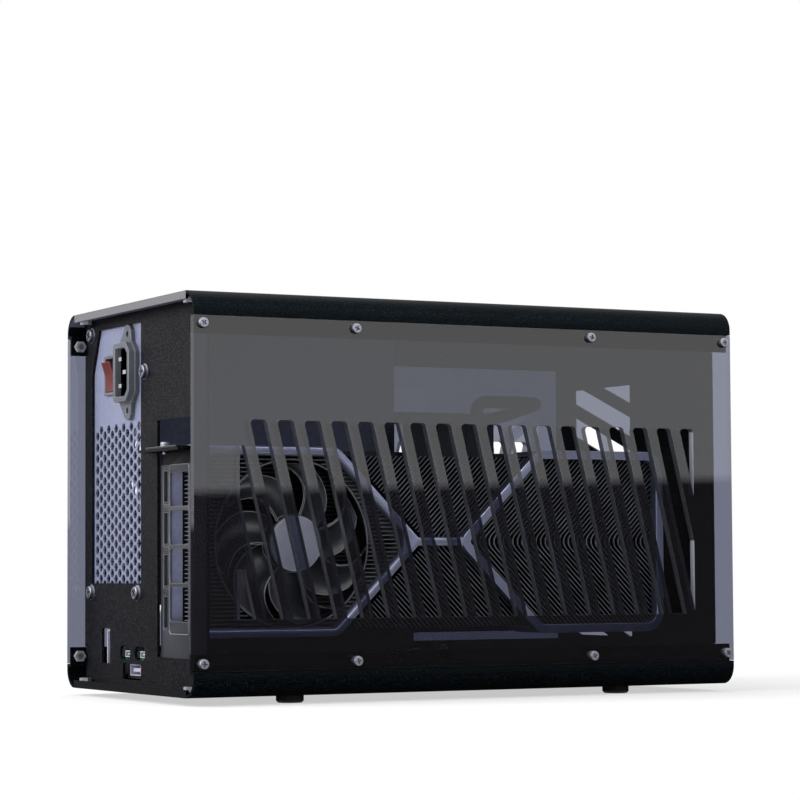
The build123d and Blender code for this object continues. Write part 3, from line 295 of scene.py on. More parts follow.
metal = {  # what a metal has unless its own line says otherwise
    "rough": 0.4,
    "spread": 0.12,
    "metallic": 1.0,
    "grain": 0.004,
    "stretch": None,
    "clouds": 25,
    "depth": 0.00002,
    "bump": 0.6,
}
metals = {
    "zincPlate": dict(dark=(0.25, 0.26, 0.31), pale=(0.34, 0.35, 0.41), rough=0.5),
    # painted shade: the zinc screws' cross recesses, darker than their heads
    "recessZinc": dict(dark=(0.13, 0.13, 0.14), pale=(0.19, 0.19, 0.20), rough=0.5),
    "blackZinc": dict(dark=(0.018, 0.018, 0.020), pale=(0.034, 0.034, 0.037), rough=0.42),
    "recessDark": dict(dark=(0.02, 0.02, 0.022), pale=(0.04, 0.04, 0.043), rough=0.5),
    "zincNut": dict(dark=(0.30, 0.30, 0.32), pale=(0.40, 0.40, 0.43), rough=0.45, metallic=0.3),
    "frameMetal": dict(
        dark=(0.23, 0.245, 0.36), pale=(0.31, 0.33, 0.46), rough=0.36, grain=0.0008, metallic=0.5
    ),
    # painted highlight: the two finishes below are paler colours for the broken edges of the frame and the
    # bracket
    "frameEdge": dict(
        dark=(0.52, 0.55, 0.74), pale=(0.66, 0.69, 0.88), rough=0.3, grain=0.0008, metallic=0.5
    ),
    "bracketRim": dict(
        dark=(0.17, 0.175, 0.19), pale=(0.24, 0.245, 0.265), rough=0.36, grain=0.002, metallic=0.5
    ),
    "bareAluminium": dict(dark=(0.40, 0.40, 0.42), pale=(0.55, 0.55, 0.58), grain=0.003, stretch=(8, 1, 1)),
    "paleShell": dict(dark=(0.40, 0.43, 0.46), pale=(0.52, 0.55, 0.58), metallic=0.1),
    "platedShell": dict(dark=(0.52, 0.52, 0.55), pale=(0.72, 0.72, 0.75), rough=0.25),
    "nickelPipe": dict(dark=(0.42, 0.36, 0.30), pale=(0.55, 0.48, 0.42), rough=0.3),
    "darkPlate": dict(
        dark=(0.02, 0.02, 0.023), pale=(0.045, 0.045, 0.05), rough=0.45, grain=0.0012, metallic=0.5
    ),
}


def makeMetal(name, own):
    s = {**metal, **own}
    material, shader, at = newMaterial(name, Metallic=s["metallic"])
    streak = noise(at, 1 / s["grain"], detail=4.0, stretch=s["stretch"])
    clouds = noise(at, s["clouds"])
    feed(
        shader,
        at,
        Base_Color=clouded(0.5 * streak + 0.5 * clouds, s["dark"], s["pale"]),
        Roughness=vary(streak, s["rough"] - s["spread"] / 2, s["rough"] + s["spread"] / 2),
        Normal=bumpOf(streak, s["depth"], s["bump"]),
    )
    return material


plastic = {  # what a plastic has unless its own line says otherwise
    "rough": 0.45,
    "spread": 0.12,
    "grain": 0.0005,
    "clouds": 40,
    "depth": 0.00003,
    "bump": 0.5,
    "IOR": 1.48,
}
plastics = {
    "blackMoulding": dict(dark=(0.011, 0.011, 0.012), pale=(0.02, 0.02, 0.022), rough=0.5),
    "inletMoulding": dict(dark=(0.075, 0.08, 0.095), pale=(0.10, 0.105, 0.125)),
    # painted highlight: paler colour for the broken edges of the inlet and the bezel
    "inletRim": dict(dark=(0.15, 0.155, 0.175), pale=(0.19, 0.195, 0.215), rough=0.4),
    "bezelMoulding": dict(dark=(0.07, 0.07, 0.08), pale=(0.11, 0.11, 0.125), rough=0.4),
    "redMoulding": dict(dark=(0.090, 0.013, 0.015), pale=(0.120, 0.020, 0.021)),
    # painted highlight: paler colours for the broken edges of the rocker and the fan blades
    "redRim": dict(dark=(0.20, 0.035, 0.036), pale=(0.25, 0.05, 0.05), rough=0.4),
    "bladeEdge": dict(dark=(0.38, 0.40, 0.43), pale=(0.50, 0.52, 0.56), rough=0.35),
    "feetRubber": dict(
        dark=(0.012, 0.012, 0.012), pale=(0.022, 0.022, 0.022), rough=0.8, grain=0.0012, depth=0.0001
    ),
    "tapeWrap": dict(dark=(0.42, 0.33, 0.05), pale=(0.52, 0.42, 0.08)),
    "canSleeve": dict(dark=(0.015, 0.016, 0.03), pale=(0.03, 0.03, 0.05), rough=0.25),
    "chipMoulding": dict(dark=(0.02, 0.02, 0.021), pale=(0.035, 0.035, 0.037), rough=0.5),
}


def makePlastic(name, own):
    s = {**plastic, **own}
    material, shader, at = newMaterial(name, IOR=s["IOR"])
    pits = noise(at, 1 / s["grain"], detail=2.0)
    feed(
        shader,
        at,
        Base_Color=clouded(noise(at, s["clouds"]), s["dark"], s["pale"]),
        Roughness=vary(pits, s["rough"] - s["spread"] / 2, s["rough"] + s["spread"] / 2),
        Normal=bumpOf(pits, s["depth"], s["bump"]),
    )
    return material


board = {
    "layout": {"offset": 0.37, "squash": 0.6, "squash_frequency": 3},  # tracks run as the joints of bricks
    "brickScale": 160,
    "trackWidth": 0.06,  # in the bricks' own units
    "patches": 60,
    "patchSpan": (0.48, 0.52),
    "rough": (0.32, 0.42),
    "IOR": 1.5,
}
boards = {
    "greenBoard": dict(mask=(0.008, 0.06, 0.03), copper=(0.05, 0.16, 0.08)),
    "blackBoard": dict(mask=(0.008, 0.009, 0.010), copper=(0.03, 0.032, 0.036)),
}


def makeBoard(name, own):  # solder mask with faint tracks under it
    s = {**board, **own}
    material, shader, at = newMaterial(name, IOR=s["IOR"])
    spacing = {"Vector": at, "Scale": s["brickScale"], "Mortar Size": s["trackWidth"]}
    tracks = at.make("ShaderNodeTexBrick", s["layout"], spacing, out=1)
    patches = ramp(noise(at, s["patches"], detail=1.0), *s["patchSpan"])
    colour = mix(tracks * patches, s["mask"], s["copper"])
    feed(shader, at, Base_Color=colour, Roughness=vary(patches, *s["rough"]))
    return material


sleeve = {
    "dark": (0.008, 0.008, 0.009),
    "pale": (0.05, 0.05, 0.055),
    "waveScale": 400,
    "slopes": ((1, 1, 1), (1, -1, 1)),  # the braid's two directions
    "rough": (0.75, 0.55),
    "depth": 0.0003,
}


def makeSleeve(name):  # braided sleeve
    s = sleeve
    material, shader, at = newMaterial(name)
    waves = []
    for slope in s["slopes"]:
        turned = at.make("ShaderNodeMapping", sockets={"Vector": at, "Scale": slope})
        bands = {"Vector": turned, "Scale": s["waveScale"]}
        waves.append(at.make("ShaderNodeTexWave", {"bands_direction": "DIAGONAL"}, bands, out=1))
    weave = math.prod(waves)
    feed(
        shader,
        at,
        Base_Color=mix(weave, s["dark"], s["pale"]),
        Roughness=vary(weave, *s["rough"]),
        Normal=bumpOf(weave, s["depth"]),
    )
    return material


psuCase = {
    # painted light: the rear face is pale as lit, the sides are darker with painted shade
    "rear": ((0.205, 0.222, 0.325), (0.24, 0.257, 0.372)),
    "sides": ((0.10, 0.115, 0.15), (0.13, 0.145, 0.19)),
    "rearDepth": 0.0012,
    "grains": 330,
    "rough": (0.34, 0.50),
    "metallic": 0.3,
    "depth": 0.00002,
    "bump": 0.6,
}


def makePsuSteel(name):  # rear face painted pale lavender as lit; the case behind it dark, partly its own dark paint and partly painted shade
    s = psuCase
    material, shader, at = newMaterial(name, Metallic=s["metallic"])
    grain = noise(at, s["grains"], detail=4.0)
    rear = parts(at)[0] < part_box("psu_tray")[0][0] + s["rearDepth"]
    feed(
        shader,
        at,
        Base_Color=mix(rear, clouded(grain, *s["sides"]), clouded(grain, *s["rear"])),
        Roughness=vary(grain, *s["rough"]),
        Normal=bumpOf(grain, s["depth"], s["bump"]),
    )
    return material


fins = {
    # painted highlight: the edge colours below; the side colour is the black coat
    "edge": (0.17, 0.18, 0.195),
    "edgeDark": (0.10, 0.105, 0.115),
    "side": (0.012, 0.012, 0.013),
    "lit": (0.0002, 0.0016),  # depth over which the painted highlight of the front edge fades into painted shade
    "tip": 0.0010,  # length of the tips towards the bracket that keep the painted highlight
    "clouds": 90,
    "rough": (0.40, 0.55),
    "metallic": 0.3,
}


def makeFins(name):  # black coat, painted pale along the front edges and tips as highlight, fading deeper in as painted shade
    s = fins
    material, shader, at = newMaterial(name, Metallic=s["metallic"])
    x, y, z = parts(at)
    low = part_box("card_fan_fins")[0]
    shadedDepth = ramp(y - low[1], *s["lit"]) * (x > low[0] + s["tip"])
    clouds = noise(at, s["clouds"])
    edge = clouded(clouds, s["edgeDark"], s["edge"])
    side = mottled(clouds, s["side"], times=1.4)
    feed(shader, at, Base_Color=mix(shadedDepth, edge, side), Roughness=vary(clouds, *s["rough"]))
    return material


fan = {
    "blade": ((0.018, 0.019, 0.023), (0.034, 0.036, 0.042)),
    "cap": ((0.22, 0.23, 0.30), (0.28, 0.29, 0.37)),
    "capRadius": 0.0139,
    "clouds": 60,
    "rough": (0.30, 0.42),
    "IOR": 1.48,
}
fans = {"frontFan": (-0.0891, 0.07965), "rearFan": (0.086, 0.08065)}  # where the axes lie along X and Z


def makeFan(name, axis):  # dark blades, pale cap over the hub
    s = fan
    material, shader, at = newMaterial(name, IOR=s["IOR"])
    x, y, z = parts(at)
    aside = x - axis[0]
    above = z - axis[1]
    cap = aside * aside + above * above < s["capRadius"] ** 2
    clouds = noise(at, s["clouds"])
    colour = mix(cap, clouded(clouds, *s["blade"]), clouded(clouds, *s["cap"]))
    feed(shader, at, Base_Color=colour, Roughness=vary(clouds, *s["rough"]))
    return material


displayPort = {
    # painted light: the sides' pale lavender
    "side": (0.52, 0.55, 0.80),
    "sideSpan": (0.3, 0.7),
    "rim": (0.050, 0.052, 0.062),
    "mouth": (0.055, 0.057, 0.068),
    "moulding": (0.012, 0.012, 0.014),
    "rimDepth": 0.0004,
    "mouthHalf": 0.0023,
    "sideEnd": 0.0076,  # from the rim, where a black moulding begins
    "grains": 330,
    "rough": (0.36, 0.46),
    "metallic": 0.2,
}


def makeDisplayShell(name):  # grey rims, dark mouths, sides painted pale lavender as light that turn black further in
    s = displayPort
    material, shader, at = newMaterial(name, Metallic=s["metallic"])
    low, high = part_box("card_display_ports")
    x, y, z = parts(at)
    grain = noise(at, s["grains"], detail=4.0)
    side = mottled(ramp(grain, *s["sideSpan"]), s["side"], times=1.2)
    colour = mix(x > low[0] + s["sideEnd"], side, mottled(grain, s["moulding"], times=1.5))
    colour = mix(x < low[0] + s["rimDepth"], colour, mottled(grain, s["rim"], times=1.3))
    mouth = abs(y - (low[1] + high[1]) / 2) < s["mouthHalf"]
    colour = mix(mouth, colour, mottled(grain, s["mouth"], times=1.3))
    feed(shader, at, Base_Color=colour, Roughness=vary(grain, *s["rough"]))
    return material


bracket = {
    "lower": (0.036, 0.040, 0.052),
    "upper": (0.080, 0.081, 0.090),
    "fade": (0.045, 0.112),  # heights between which the plate turns paler, as painted light
    "wander": 0.02,
    "tab": (0.010, 0.010, 0.012),
    "tabFrom": 0.1197,  # height above which the sheet is black, over the tab that is bent out and, as painted shade, the plate under it
    "streaks": 500,
    "stretch": (1, 1, 12),
    "rough": (0.32, 0.44),
    "metallic": 0.5,
    "depth": 0.00002,
    "bump": 0.6,
}


def makeBracket(name):  # satin plate painted paler towards the top as light, black tab with painted shade under it
    s = bracket
    material, shader, at = newMaterial(name, Metallic=s["metallic"])
    streak = noise(at, s["streaks"], detail=4.0, stretch=s["stretch"])
    height = parts(at)[2]
    plate = mix(ramp(height + s["wander"] * streak, *s["fade"]), s["lower"], s["upper"])
    tabShaded = mottled(streak, s["tab"], times=1.5)
    feed(
        shader,
        at,
        Base_Color=mix(height > s["tabFrom"], plate, tabShaded),
        Roughness=vary(streak, *s["rough"]),
        Normal=bumpOf(streak, s["depth"], s["bump"]),
    )
    return material


cardBoard = {
    "mask": ((0.006, 0.007, 0.008), (0.014, 0.015, 0.017)),
    "gold": ((0.52, 0.36, 0.10), (0.62, 0.45, 0.15)),
    "goldBelow": 0.0225,
    "waveScale": 160,
    "fingerSpan": (0.3, 0.4),  # rise of a wave at which a finger begins
    "clouds": 60,
    "rough": (0.36, 0.26),  # mask, gold
    "IOR": 1.5,
}


def makeCardBoard(name):  # dark board with gold fingers at its edge connector
    s = cardBoard
    material, shader, at = newMaterial(name, IOR=s["IOR"])
    bands = {"Vector": at, "Scale": s["waveScale"]}
    fingers = at.make("ShaderNodeTexWave", {"bands_direction": "X"}, bands, out=1)
    gold = (parts(at)[2] < s["goldBelow"]) * ramp(fingers, *s["fingerSpan"])
    clouds = noise(at, s["clouds"], detail=2.0)
    colour = mix(gold, mix(clouds, *s["mask"]), mix(clouds, *s["gold"]))
    feed(shader, at, Base_Color=colour, Roughness=vary(gold, *s["rough"]), Metallic=gold)
    return material


port = {"grains": 400, "rough": (0.24, 0.34)}
ports = {"uprightPort": (0.42, 0.42, 0.52), "lowerPort": (0.46, 0.45, 0.55)}


def makePort(name, colour):  # pale moulded port
    s = port
    material, shader, at = newMaterial(name)
    grain = noise(at, s["grains"])
    feed(shader, at, Base_Color=mottled(grain, colour, times=1.15), Roughness=vary(grain, *s["rough"]))
    return material


finish = {
    "coverPaint": makePowderCoat("coverPaint", coverCoat),
    "panelPaint": makePowderCoat("panelPaint", panelCoat),
    "smokedAcrylic": makeSmokedAcrylic("smokedAcrylic"),
    "psuSteel": makePsuSteel("psuSteel"),
    "cardBoard": makeCardBoard("cardBoard"),
    "bracketSteel": makeBracket("bracketSteel"),
    "displayShell": makeDisplayShell("displayShell"),
    "finMetal": makeFins("finMetal"),
    "cableSleeve": makeSleeve("cableSleeve"),
}
for makeOne, table in (
    (makeMetal, metals),
    (makePlastic, plastics),
    (makeBoard, boards),
    (makeFan, fans),
    (makePort, ports),
):
    for name, own in table.items():
        finish[name] = makeOne(name, own)

dressing = {  # nodes that keep their own mesh
    "coverPaint": ("top_cover", "bottom_cover"),
    "panelPaint": ("rear_panel", "front_panel"),
    "smokedAcrylic": ("right_side_panel", "left_side_panel"),
    "zincPlate": ("dock_screws", "dock_standoffs", "psu_fan_guard"),
    "zincNut": ("right_panel_nuts", "left_panel_nuts"),
    "feetRubber": ("rubber_feet", "psu_cable_grommet"),
    "psuSteel": ("psu_tray", "psu_lid"),
    "platedShell": ("psu_inlet_pins",),
    "paleShell": ("usb_c_ports",),
    "displayShell": ("card_display_ports",),
    "uprightPort": ("upright_port",),
    "lowerPort": ("lower_port",),
    "blackMoulding": (
        "psu_fan_frame",
        "psu_fan_rotor",
        "card_front_fan_motor",
        "card_rear_fan_motor",
        "card_power_socket",
        "card_power_plug",
        "pcie_slot",
        "pcie_latch",
        "dock_power_socket",
        "dock_power_plug",
    ),
    "cardBoard": ("card_board",),
    "greenBoard": ("psu_board", "module_board"),
    "blackBoard": ("dock_board",),
    "bareAluminium": ("psu_heatsinks", "module_spacers"),
    "tapeWrap": ("psu_transformer",),
    "canSleeve": ("psu_capacitors",),
    "chipMoulding": ("gpu_package",),
    "finMetal": ("card_fan_fins", "card_chevron_fins"),
    "nickelPipe": ("card_heat_pipes",),
    "darkPlate": ("card_back_plate", "card_base_plate"),
    "cableSleeve": ("card_power_cables", "dock_power_cables"),
}
for name, dressed in dressing.items():
    for node in dressed:
        for slot in nodes[node].material_slots:
            slot.material = finish[name]
print("finishes:", len(finish))

mergeWithin = 1e-6


def mergedCopy(name):  # of a CAD node's loose triangles
    bm = bmesh.new()
    bm.from_mesh(nodes[name].data)
    bmesh.ops.remove_doubles(bm, verts=bm.verts, dist=mergeWithin)
    return bm


def newPiece(name, bm, *materials):
    mesh = bpy.data.meshes.new(name)
    bm.to_mesh(mesh)
    bm.free()
    for material in materials:
        mesh.materials.append(material)
    piece = bpy.data.objects.new(name, mesh)
    bpy.context.collection.objects.link(piece)
    return piece


# Edges broken and painted paler as highlight, in place of the knife-sharp ones
edgeBreak = {
    "sharpFrom": math.radians(38),
    "flatWithin": math.radians(0.5),
    "smoothWithin": math.radians(25),
    "segments": 2,
}
softened = {  # node: body, slot, width of the edge, finish, finish of the edge, paler as painted highlight
    "card_front_fan_rotor": ("card_front_fan", "fan_plastic", 0.00022, "frontFan", "bladeEdge"),
    "card_rear_fan_rotor": ("card_rear_fan", "fan_plastic", 0.00022, "rearFan", "bladeEdge"),
    "card_frame": ("enclosure", "frame_aluminium", 0.00030, "frameMetal", "frameEdge"),
    "card_bracket": ("enclosure", "bracket_steel", 0.00018, "bracketSteel", "bracketRim"),
    "psu_mains_inlet": ("enclosure", "inlet_plastic", 0.00030, "inletMoulding", "inletRim"),
    "psu_switch_bezel": ("enclosure", "inlet_plastic", 0.00025, "bezelMoulding", "inletRim"),
    "psu_rocker": ("psu_rocker", "rocker_red", 0.00030, "redMoulding", "redRim"),
}


def roundEdges(bm, edges, width, segments):
    form = {"segments": segments, "profile": 0.5, "affect": "EDGES", "material": -1}
    return bmesh.ops.bevel(bm, geom=edges, offset=width, **form)["faces"]


def soften(name, body, slot, width, face, edge):
    s = edgeBreak
    bm = mergedCopy(name)
    bmesh.ops.dissolve_limit(bm, angle_limit=s["flatWithin"], verts=bm.verts, edges=bm.edges)
    sharp = [e for e in bm.edges if len(e.link_faces) == 2 and e.calc_face_angle() > s["sharpFrom"]]
    # the rounded edges take the paler finish, a painted highlight
    for made in roundEdges(bm, sharp, width, s["segments"]):
        made.material_index = 1
    piece = newPiece(name + "_soft", bm, finish[face], finish[edge])
    piece.data.shade_smooth()
    piece.data.set_sharp_from_angle(angle=s["smoothWithin"])
    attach(piece, body)
    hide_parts(name)
    print("softened:", name, len(sharp), "edges")


for name, row in softened.items():
    soften(name, *row)

# Screws with a cross recess, in place of the plain ones
panScrew = {
    "head": 0.0026,
    "tall": 0.0022,
    "crown": ((1, 0), (1, 0.62), (0.97, 0.84), (0.90, 0.97), (0.82, 1)),  # shares of head and tall
    "shank": 0.0015,
    "sink": 0.0,  # depth of the cone under the head
    "crossLong": 0.0014,
    "crossWide": 0.00036,
    "crossDeep": 0.0008,
    "crossTaper": 0.7,  # arms on the recess's floor, as a share of those at its mouth
    "steps": 24,
    "turn": 0.9,  # from one screw to the next
}
psuScrew = {
    **panScrew,
    "head": 0.0035,
    "tall": 0.0024,
    "crown": ((1.2, 0), (1.2, 0.16), (0.98, 0.22), (0.96, 0.84), (0.86, 1)),  # with a flange
    "shank": 0.00175,
    "crossLong": 0.0024,
    "crossWide": 0.00055,
    "crossDeep": 0.0012,
}
flatScrew = {
    **panScrew,
    "head": 0.0030,
    "tall": 0.0,
    "crown": ((1, 0), (0.8, 0)),
    "sink": 0.0013,
    "crossLong": 0.0018,
    "crossWide": 0.00055,
    "crossDeep": 0.0009,
}
screwSets = {  # node: screw, axis of the heads, slot, finish, finish of the recess, darker on the zinc screws as painted shade
    "right_panel_screws": (panScrew, 1, "zinc", "zincPlate", "recessZinc"),
    "left_panel_screws": (panScrew, 1, "zinc", "zincPlate", "recessZinc"),
    "psu_screws": (psuScrew, 0, "zinc", "zincPlate", "recessZinc"),
    "bracket_screws": (panScrew, 2, "zinc", "zincPlate", "recessZinc"),
    "cover_screws": (flatScrew, 2, "black_screw", "blackZinc", "recessDark"),
}


def chain(bm, points, closed=False):  # vertices joined by edges
    line = [bm.verts.new(point) for point in points]
    following = line[1:] + line[:1] if closed else line[1:]
    return line, [bm.edges.new(pair) for pair in zip(line, following)]


def turnRound(bm, geom, steps):  # a full turn about Z
    about = {"axis": (0, 0, 1), "cent": (0, 0, 0), "angle": math.tau}
    bmesh.ops.spin(bm, geom=geom, steps=steps, use_merge=True, **about)


def crossLoop(bm, s, reach, height):  # round the recess
    wide = s["crossWide"]
    quarters = [Matrix.Rotation(turn * math.pi / 2, 3, "Z") for turn in range(4)]
    arm = [Vector((x, y, height)) for x, y in ((wide, -wide), (reach, -wide), (reach, wide))]
    return chain(bm, [quarter @ corner for quarter in quarters for corner in arm], closed=True)


def screwMesh(s, grip):  # head up along Z from the seat at 0, shank down
    bm = bmesh.new()
    outline = [(0, -grip), (s["shank"], -grip), (s["shank"], -s["sink"])]
    outline += [(s["head"] * out, s["tall"] * up) for out, up in s["crown"]]
    line, edges = chain(bm, [(out, 0, up) for out, up in outline])
    turnRound(bm, line + edges, s["steps"])
    bmesh.ops.remove_doubles(bm, verts=bm.verts, dist=mergeWithin)
    rim = [edge for edge in bm.edges if edge.is_boundary]
    corners, mouth = crossLoop(bm, s, s["crossLong"], s["tall"] + s["head"])  # lifted while it is bridged
    bmesh.ops.bridge_loops(bm, edges=rim + mouth)
    bmesh.ops.translate(bm, vec=(0, 0, -s["head"]), verts=corners)
    outside = set(bm.faces)
    bottom = crossLoop(bm, s, s["crossTaper"] * s["crossLong"], s["tall"] - s["crossDeep"])[1]
    bmesh.ops.bridge_loops(bm, edges=mouth + bottom)
    bmesh.ops.contextual_create(bm, geom=bottom)
    # the recess takes the second finish, on the zinc screws a painted shade
    for face in set(bm.faces) - outside:
        face.material_index = 1
    bmesh.ops.recalc_face_normals(bm, faces=bm.faces)
    mesh = bpy.data.meshes.new("screw")
    bm.to_mesh(mesh)
    bm.free()
    return mesh


def looseBoxes(name):  # lowest and highest corner of every solid in a node
    bm = mergedCopy(name)
    left = set(bm.verts)
    boxes = []
    while left:
        stack = [left.pop()]
        group = []
        while stack:
            vert = stack.pop()
            group.append(vert.co.copy())
            linked = {edge.other_vert(vert) for edge in vert.link_edges} & left
            left -= linked
            stack += linked
        boxes.append([Vector([pick(c[i] for c in group) for i in range(3)]) for pick in (min, max)])
    bm.free()
    return sorted(boxes, key=lambda box: [round(c, 5) for c in box[0]])  # the same order in every run


def makeScrews(name, s, axis, slot, face, recess):  # heads point away from the middle of the box
    centre = (Vector(cadBox[0]) + Vector(cadBox[1])) / 2
    boxes = looseBoxes(name)
    long = (boxes[0][1] - boxes[0][0])[axis]
    screw = screwMesh(s, long - s["tall"])
    whole = bmesh.new()
    for count, (low, high) in enumerate(boxes):
        seat = (low + high) / 2
        side = 1 if seat[axis] > centre[axis] else -1
        seat[axis] += side * (long / 2 - s["tall"])
        out = Vector((0, 0, 0))
        out[axis] = side
        turn = Vector((0, 0, 1)).rotation_difference(out).to_matrix().to_4x4()
        spin = Matrix.Rotation(s["turn"] * count, 4, "Z")
        before = len(whole.verts)
        whole.from_mesh(screw)
        fresh = list(whole.verts)[before:]
        bmesh.ops.transform(whole, matrix=Matrix.Translation(seat) @ turn @ spin, verts=fresh)
    bpy.data.meshes.remove(screw)
    piece = newPiece(name + "_cut", whole, finish[face], finish[recess])
    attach(piece, "enclosure")
    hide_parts(name)
    print("screws:", name, len(boxes))


for name, row in screwSets.items():
    makeScrews(name, *row)

# Shield plate along the display ports, seen through the bracket's windows
shield = {
    "clear": 0.0002,  # gap to the ports
    "thick": 0.0004,
    "past": 0.0025,  # reach beyond the first and the last port
    "behind": 0.0013,  # set back from their rims
    "edge": 0.00015,
    "segments": 2,
}


def makePortShield():
    s = shield
    low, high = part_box("card_display_ports")
    near = low[1] - s["clear"]
    first = Vector((low[0] + s["behind"], near - s["thick"], low[2] - s["past"]))
    last = Vector((high[0], near, high[2] + s["past"]))
    bm = bmesh.new()
    bmesh.ops.create_cube(bm, size=1)
    bmesh.ops.scale(bm, vec=last - first, verts=bm.verts)
    bmesh.ops.translate(bm, vec=(first + last) / 2, verts=bm.verts)
    roundEdges(bm, bm.edges[:], s["edge"], s["segments"])
    piece = newPiece("card_port_shield", bm, finish["displayShell"])
    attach(piece, "enclosure")


makePortShield()
print("port shield ready")

# Pressed rib round the bracket's windows, painted pale as highlight
rib = {
    "across": (-0.0562, -0.0308),
    "up": (0.0343, 0.1195),
    "corner": 0.0025,
    "radius": 0.00035,
    "steps": 6,
    "sides": 8,
}


def only(kind, geom):
    return [element for element in geom if isinstance(element, kind)]


def makeBracketRib():  # a round bar led round four corners
    s = rib
    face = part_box("card_display_ports")[0][0]
    (near, far), (low, high) = s["across"], s["up"]
    inset = s["corner"]
    left, right, lower, upper = far - inset, near + inset, low + inset, high - inset
    centres = [(left, upper), (right, upper), (right, lower), (left, lower)]
    bm = bmesh.new()
    start = Matrix.Translation((face, far, upper))
    bmesh.ops.create_circle(bm, segments=s["sides"], radius=s["radius"], matrix=start)
    ring = bm.verts[:] + bm.edges[:]
    for centre, following in zip(centres, centres[1:] + centres[:1]):
        quarter = {"cent": (face, *centre), "axis": (1, 0, 0), "angle": math.pi / 2, "steps": s["steps"]}
        turned = bmesh.ops.spin(bm, geom=ring, **quarter)["geom_last"]
        run = bmesh.ops.extrude_edge_only(bm, edges=only(bmesh.types.BMEdge, turned))["geom"]
        ends = only(bmesh.types.BMVert, run)
        bmesh.ops.translate(bm, vec=(0, following[0] - centre[0], following[1] - centre[1]), verts=ends)
        ring = ends + [edge for edge in only(bmesh.types.BMEdge, run) if set(edge.verts) <= set(ends)]
    bmesh.ops.remove_doubles(bm, verts=bm.verts, dist=mergeWithin)
    bmesh.ops.recalc_face_normals(bm, faces=bm.faces)
    piece = newPiece("card_bracket_rib", bm, finish["bracketRim"])
    piece.data.shade_smooth()
    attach(piece, "enclosure")


makeBracketRib()
print("bracket rib ready")

# Camera, solved from the box's corners
camera = {
    "place": (-0.70461, -1.34465, 0.06654),
    "yaw": 27.6842,
    "pitch": 3.4353,
    "roll": -0.3141,
    "focal": 2813.36,  # in pixels of an image 800 wide
    "imageWidth": 800,
    "sensor": 36.0,
    "clip": (0.05, 100),
}


def placeCamera():
    s = camera
    data = bpy.data.cameras.new("camera")
    data.sensor_width = s["sensor"]
    data.lens = s["focal"] * s["sensor"] / s["imageWidth"]
    data.clip_start, data.clip_end = s["clip"]
    holder = bpy.data.objects.new("camera", data)
    turn = Matrix.Rotation(math.radians(-s["yaw"]), 4, "Z")
    turn @= Matrix.Rotation(math.radians(90 + s["pitch"]), 4, "X")
    turn @= Matrix.Rotation(math.radians(s["roll"]), 4, "Z")
    holder.matrix_world = Matrix.Translation(s["place"]) @ turn
    bpy.context.collection.objects.link(holder)
    bpy.context.scene.camera = holder


placeCamera()
print("camera ready")

# Room: white world, pale floor that keeps the shadow, black card for the reflections, soft lamps
ambient = 0.42  # the white world's share of light on the object

floor = {
    "size": 12.0,
    "colour": (0.86, 0.86, 0.86, 1.0),
    "glow": (1.0, 1.0, 1.0, 1.0),
    "nearGlow": 0.55,  # share of the glow in the shadow, before it fades to white
    "shadowReach": (0.30, 0.75),
}
darkCard = {
    "colour": (0.030, 0.025, 0.026, 1.0),
    "radius": (0.05, 3.0),
    "lift": 0.001,
    "top": 0.25,
    "fade": (0.187, 0.203),  # heights over which the upper edge fades out
    "slope": 0.0225,  # rise of that edge along X
    "levelAt": 1.40,  # where along X the edge is at those heights
    "steps": 64,
}
lamps = {
    "rearSoftbox": {
        "place": (-1.6, 0.1, 0.9),
        "aim": (-0.1, 0, 0.1),
        "size": (0.9, 0.9),
        "power": 28,
        "colour": (0.95, 0.96, 1.0),
    },
    "sideSoftbox": {
        "place": (0.5, -1.7, 1.1),
        "aim": (0, -0.06, 0.1),
        "size": (1.2, 0.9),
        "power": 16,
        "colour": (1, 1, 1),
    },
    "topSoftbox": {
        "place": (-0.2, 0.3, 1.7),
        "aim": (0, 0, 0.1),
        "size": (1.4, 1.0),
        "power": 16,
        "colour": (1, 1, 1),
    },
}


def seenRays(at):  # camera, glossy and transmitted rays
    rays = at.make("ShaderNodeLightPath").socket.node.outputs
    total = Wire(at.tree, rays["Is Camera Ray"]) + Wire(at.tree, rays["Is Glossy Ray"])
    return at.make("ShaderNodeClamp", sockets={0: total + Wire(at.tree, rays["Is Transmission Ray"])})


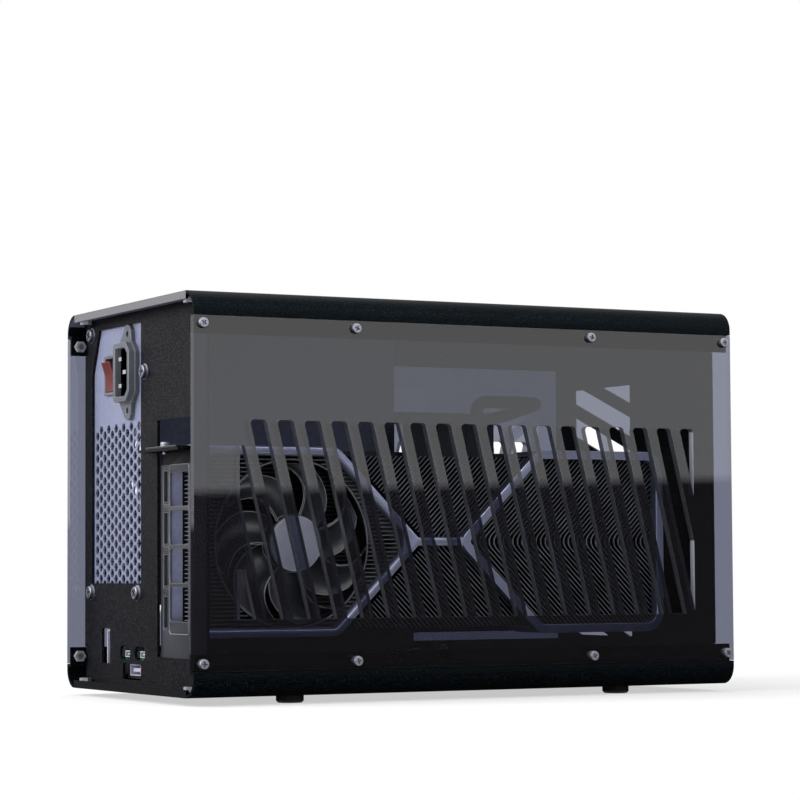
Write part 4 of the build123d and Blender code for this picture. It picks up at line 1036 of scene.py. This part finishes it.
def makeWorld():
    world = bpy.data.worlds.new("studio")
    bpy.context.scene.world = world
    world.use_nodes = True
    back = world.node_tree.nodes["Background"]
    back.inputs["Color"].default_value = (1, 1, 1, 1)
    strength = vary(seenRays(Wire(world.node_tree)), ambient, 1.0)
    world.node_tree.links.new(strength.socket, back.inputs["Strength"])


def makeFloor():
    s = floor
    matt = {"Roughness": 1.0, "Specular_IOR_Level": 0.0}
    material, shader, at = newMaterial("paleFloor", Base_Color=s["colour"], **matt)
    away = at.make("ShaderNodeVectorMath", {"operation": "LENGTH"}, {0: at}, out=1)
    share = vary(ramp(away, *s["shadowReach"]), s["nearGlow"], 1.0) * seenRays(at)
    glow = at.make("ShaderNodeEmission", sockets={"Color": s["glow"], "Strength": 1.0})
    show(share, Wire(at.tree, shader.outputs[0]), glow)
    bm = bmesh.new()
    bmesh.ops.create_grid(bm, x_segments=1, y_segments=1, size=s["size"])
    newPiece("floor", bm, material)


def makeDarkBand():  # black card lying round the set, seen only in reflections
    s = darkCard
    material, shader, at = newMaterial("darkCard")
    x, y, z = parts(at)
    height = z - s["slope"] * (x - s["levelAt"])
    card = at.make("ShaderNodeEmission", sockets={"Color": s["colour"], "Strength": 1.0})
    clear = at.make("ShaderNodeBsdfTransparent")
    show(ramp(height, *s["fade"]), card, clear)
    inner, outer = s["radius"]
    bm = bmesh.new()
    line, edges = chain(bm, [(inner, 0, s["lift"]), (outer, 0, s["lift"]), (outer, 0, s["top"])])
    turnRound(bm, line + edges, s["steps"])
    band = newPiece("darkBand", bm, material)
    band.visible_camera = False
    band.visible_diffuse = False
    band.visible_transmission = False
    band.visible_shadow = False


def addLamp(name, s):
    data = bpy.data.lights.new(name, "AREA")
    data.shape = "RECTANGLE"
    data.size, data.size_y = s["size"]
    data.energy = s["power"]
    data.color = s["colour"]
    lamp = bpy.data.objects.new(name, data)
    lamp.location = s["place"]
    lamp.rotation_euler = (Vector(s["aim"]) - Vector(s["place"])).to_track_quat("-Z", "Y").to_euler()
    bpy.context.collection.objects.link(lamp)


makeWorld()
makeFloor()
makeDarkBand()
for name, settings in lamps.items():
    addLamp(name, settings)
print("room ready")

bpy.context.scene.view_settings.view_transform = "Standard"
print("done")
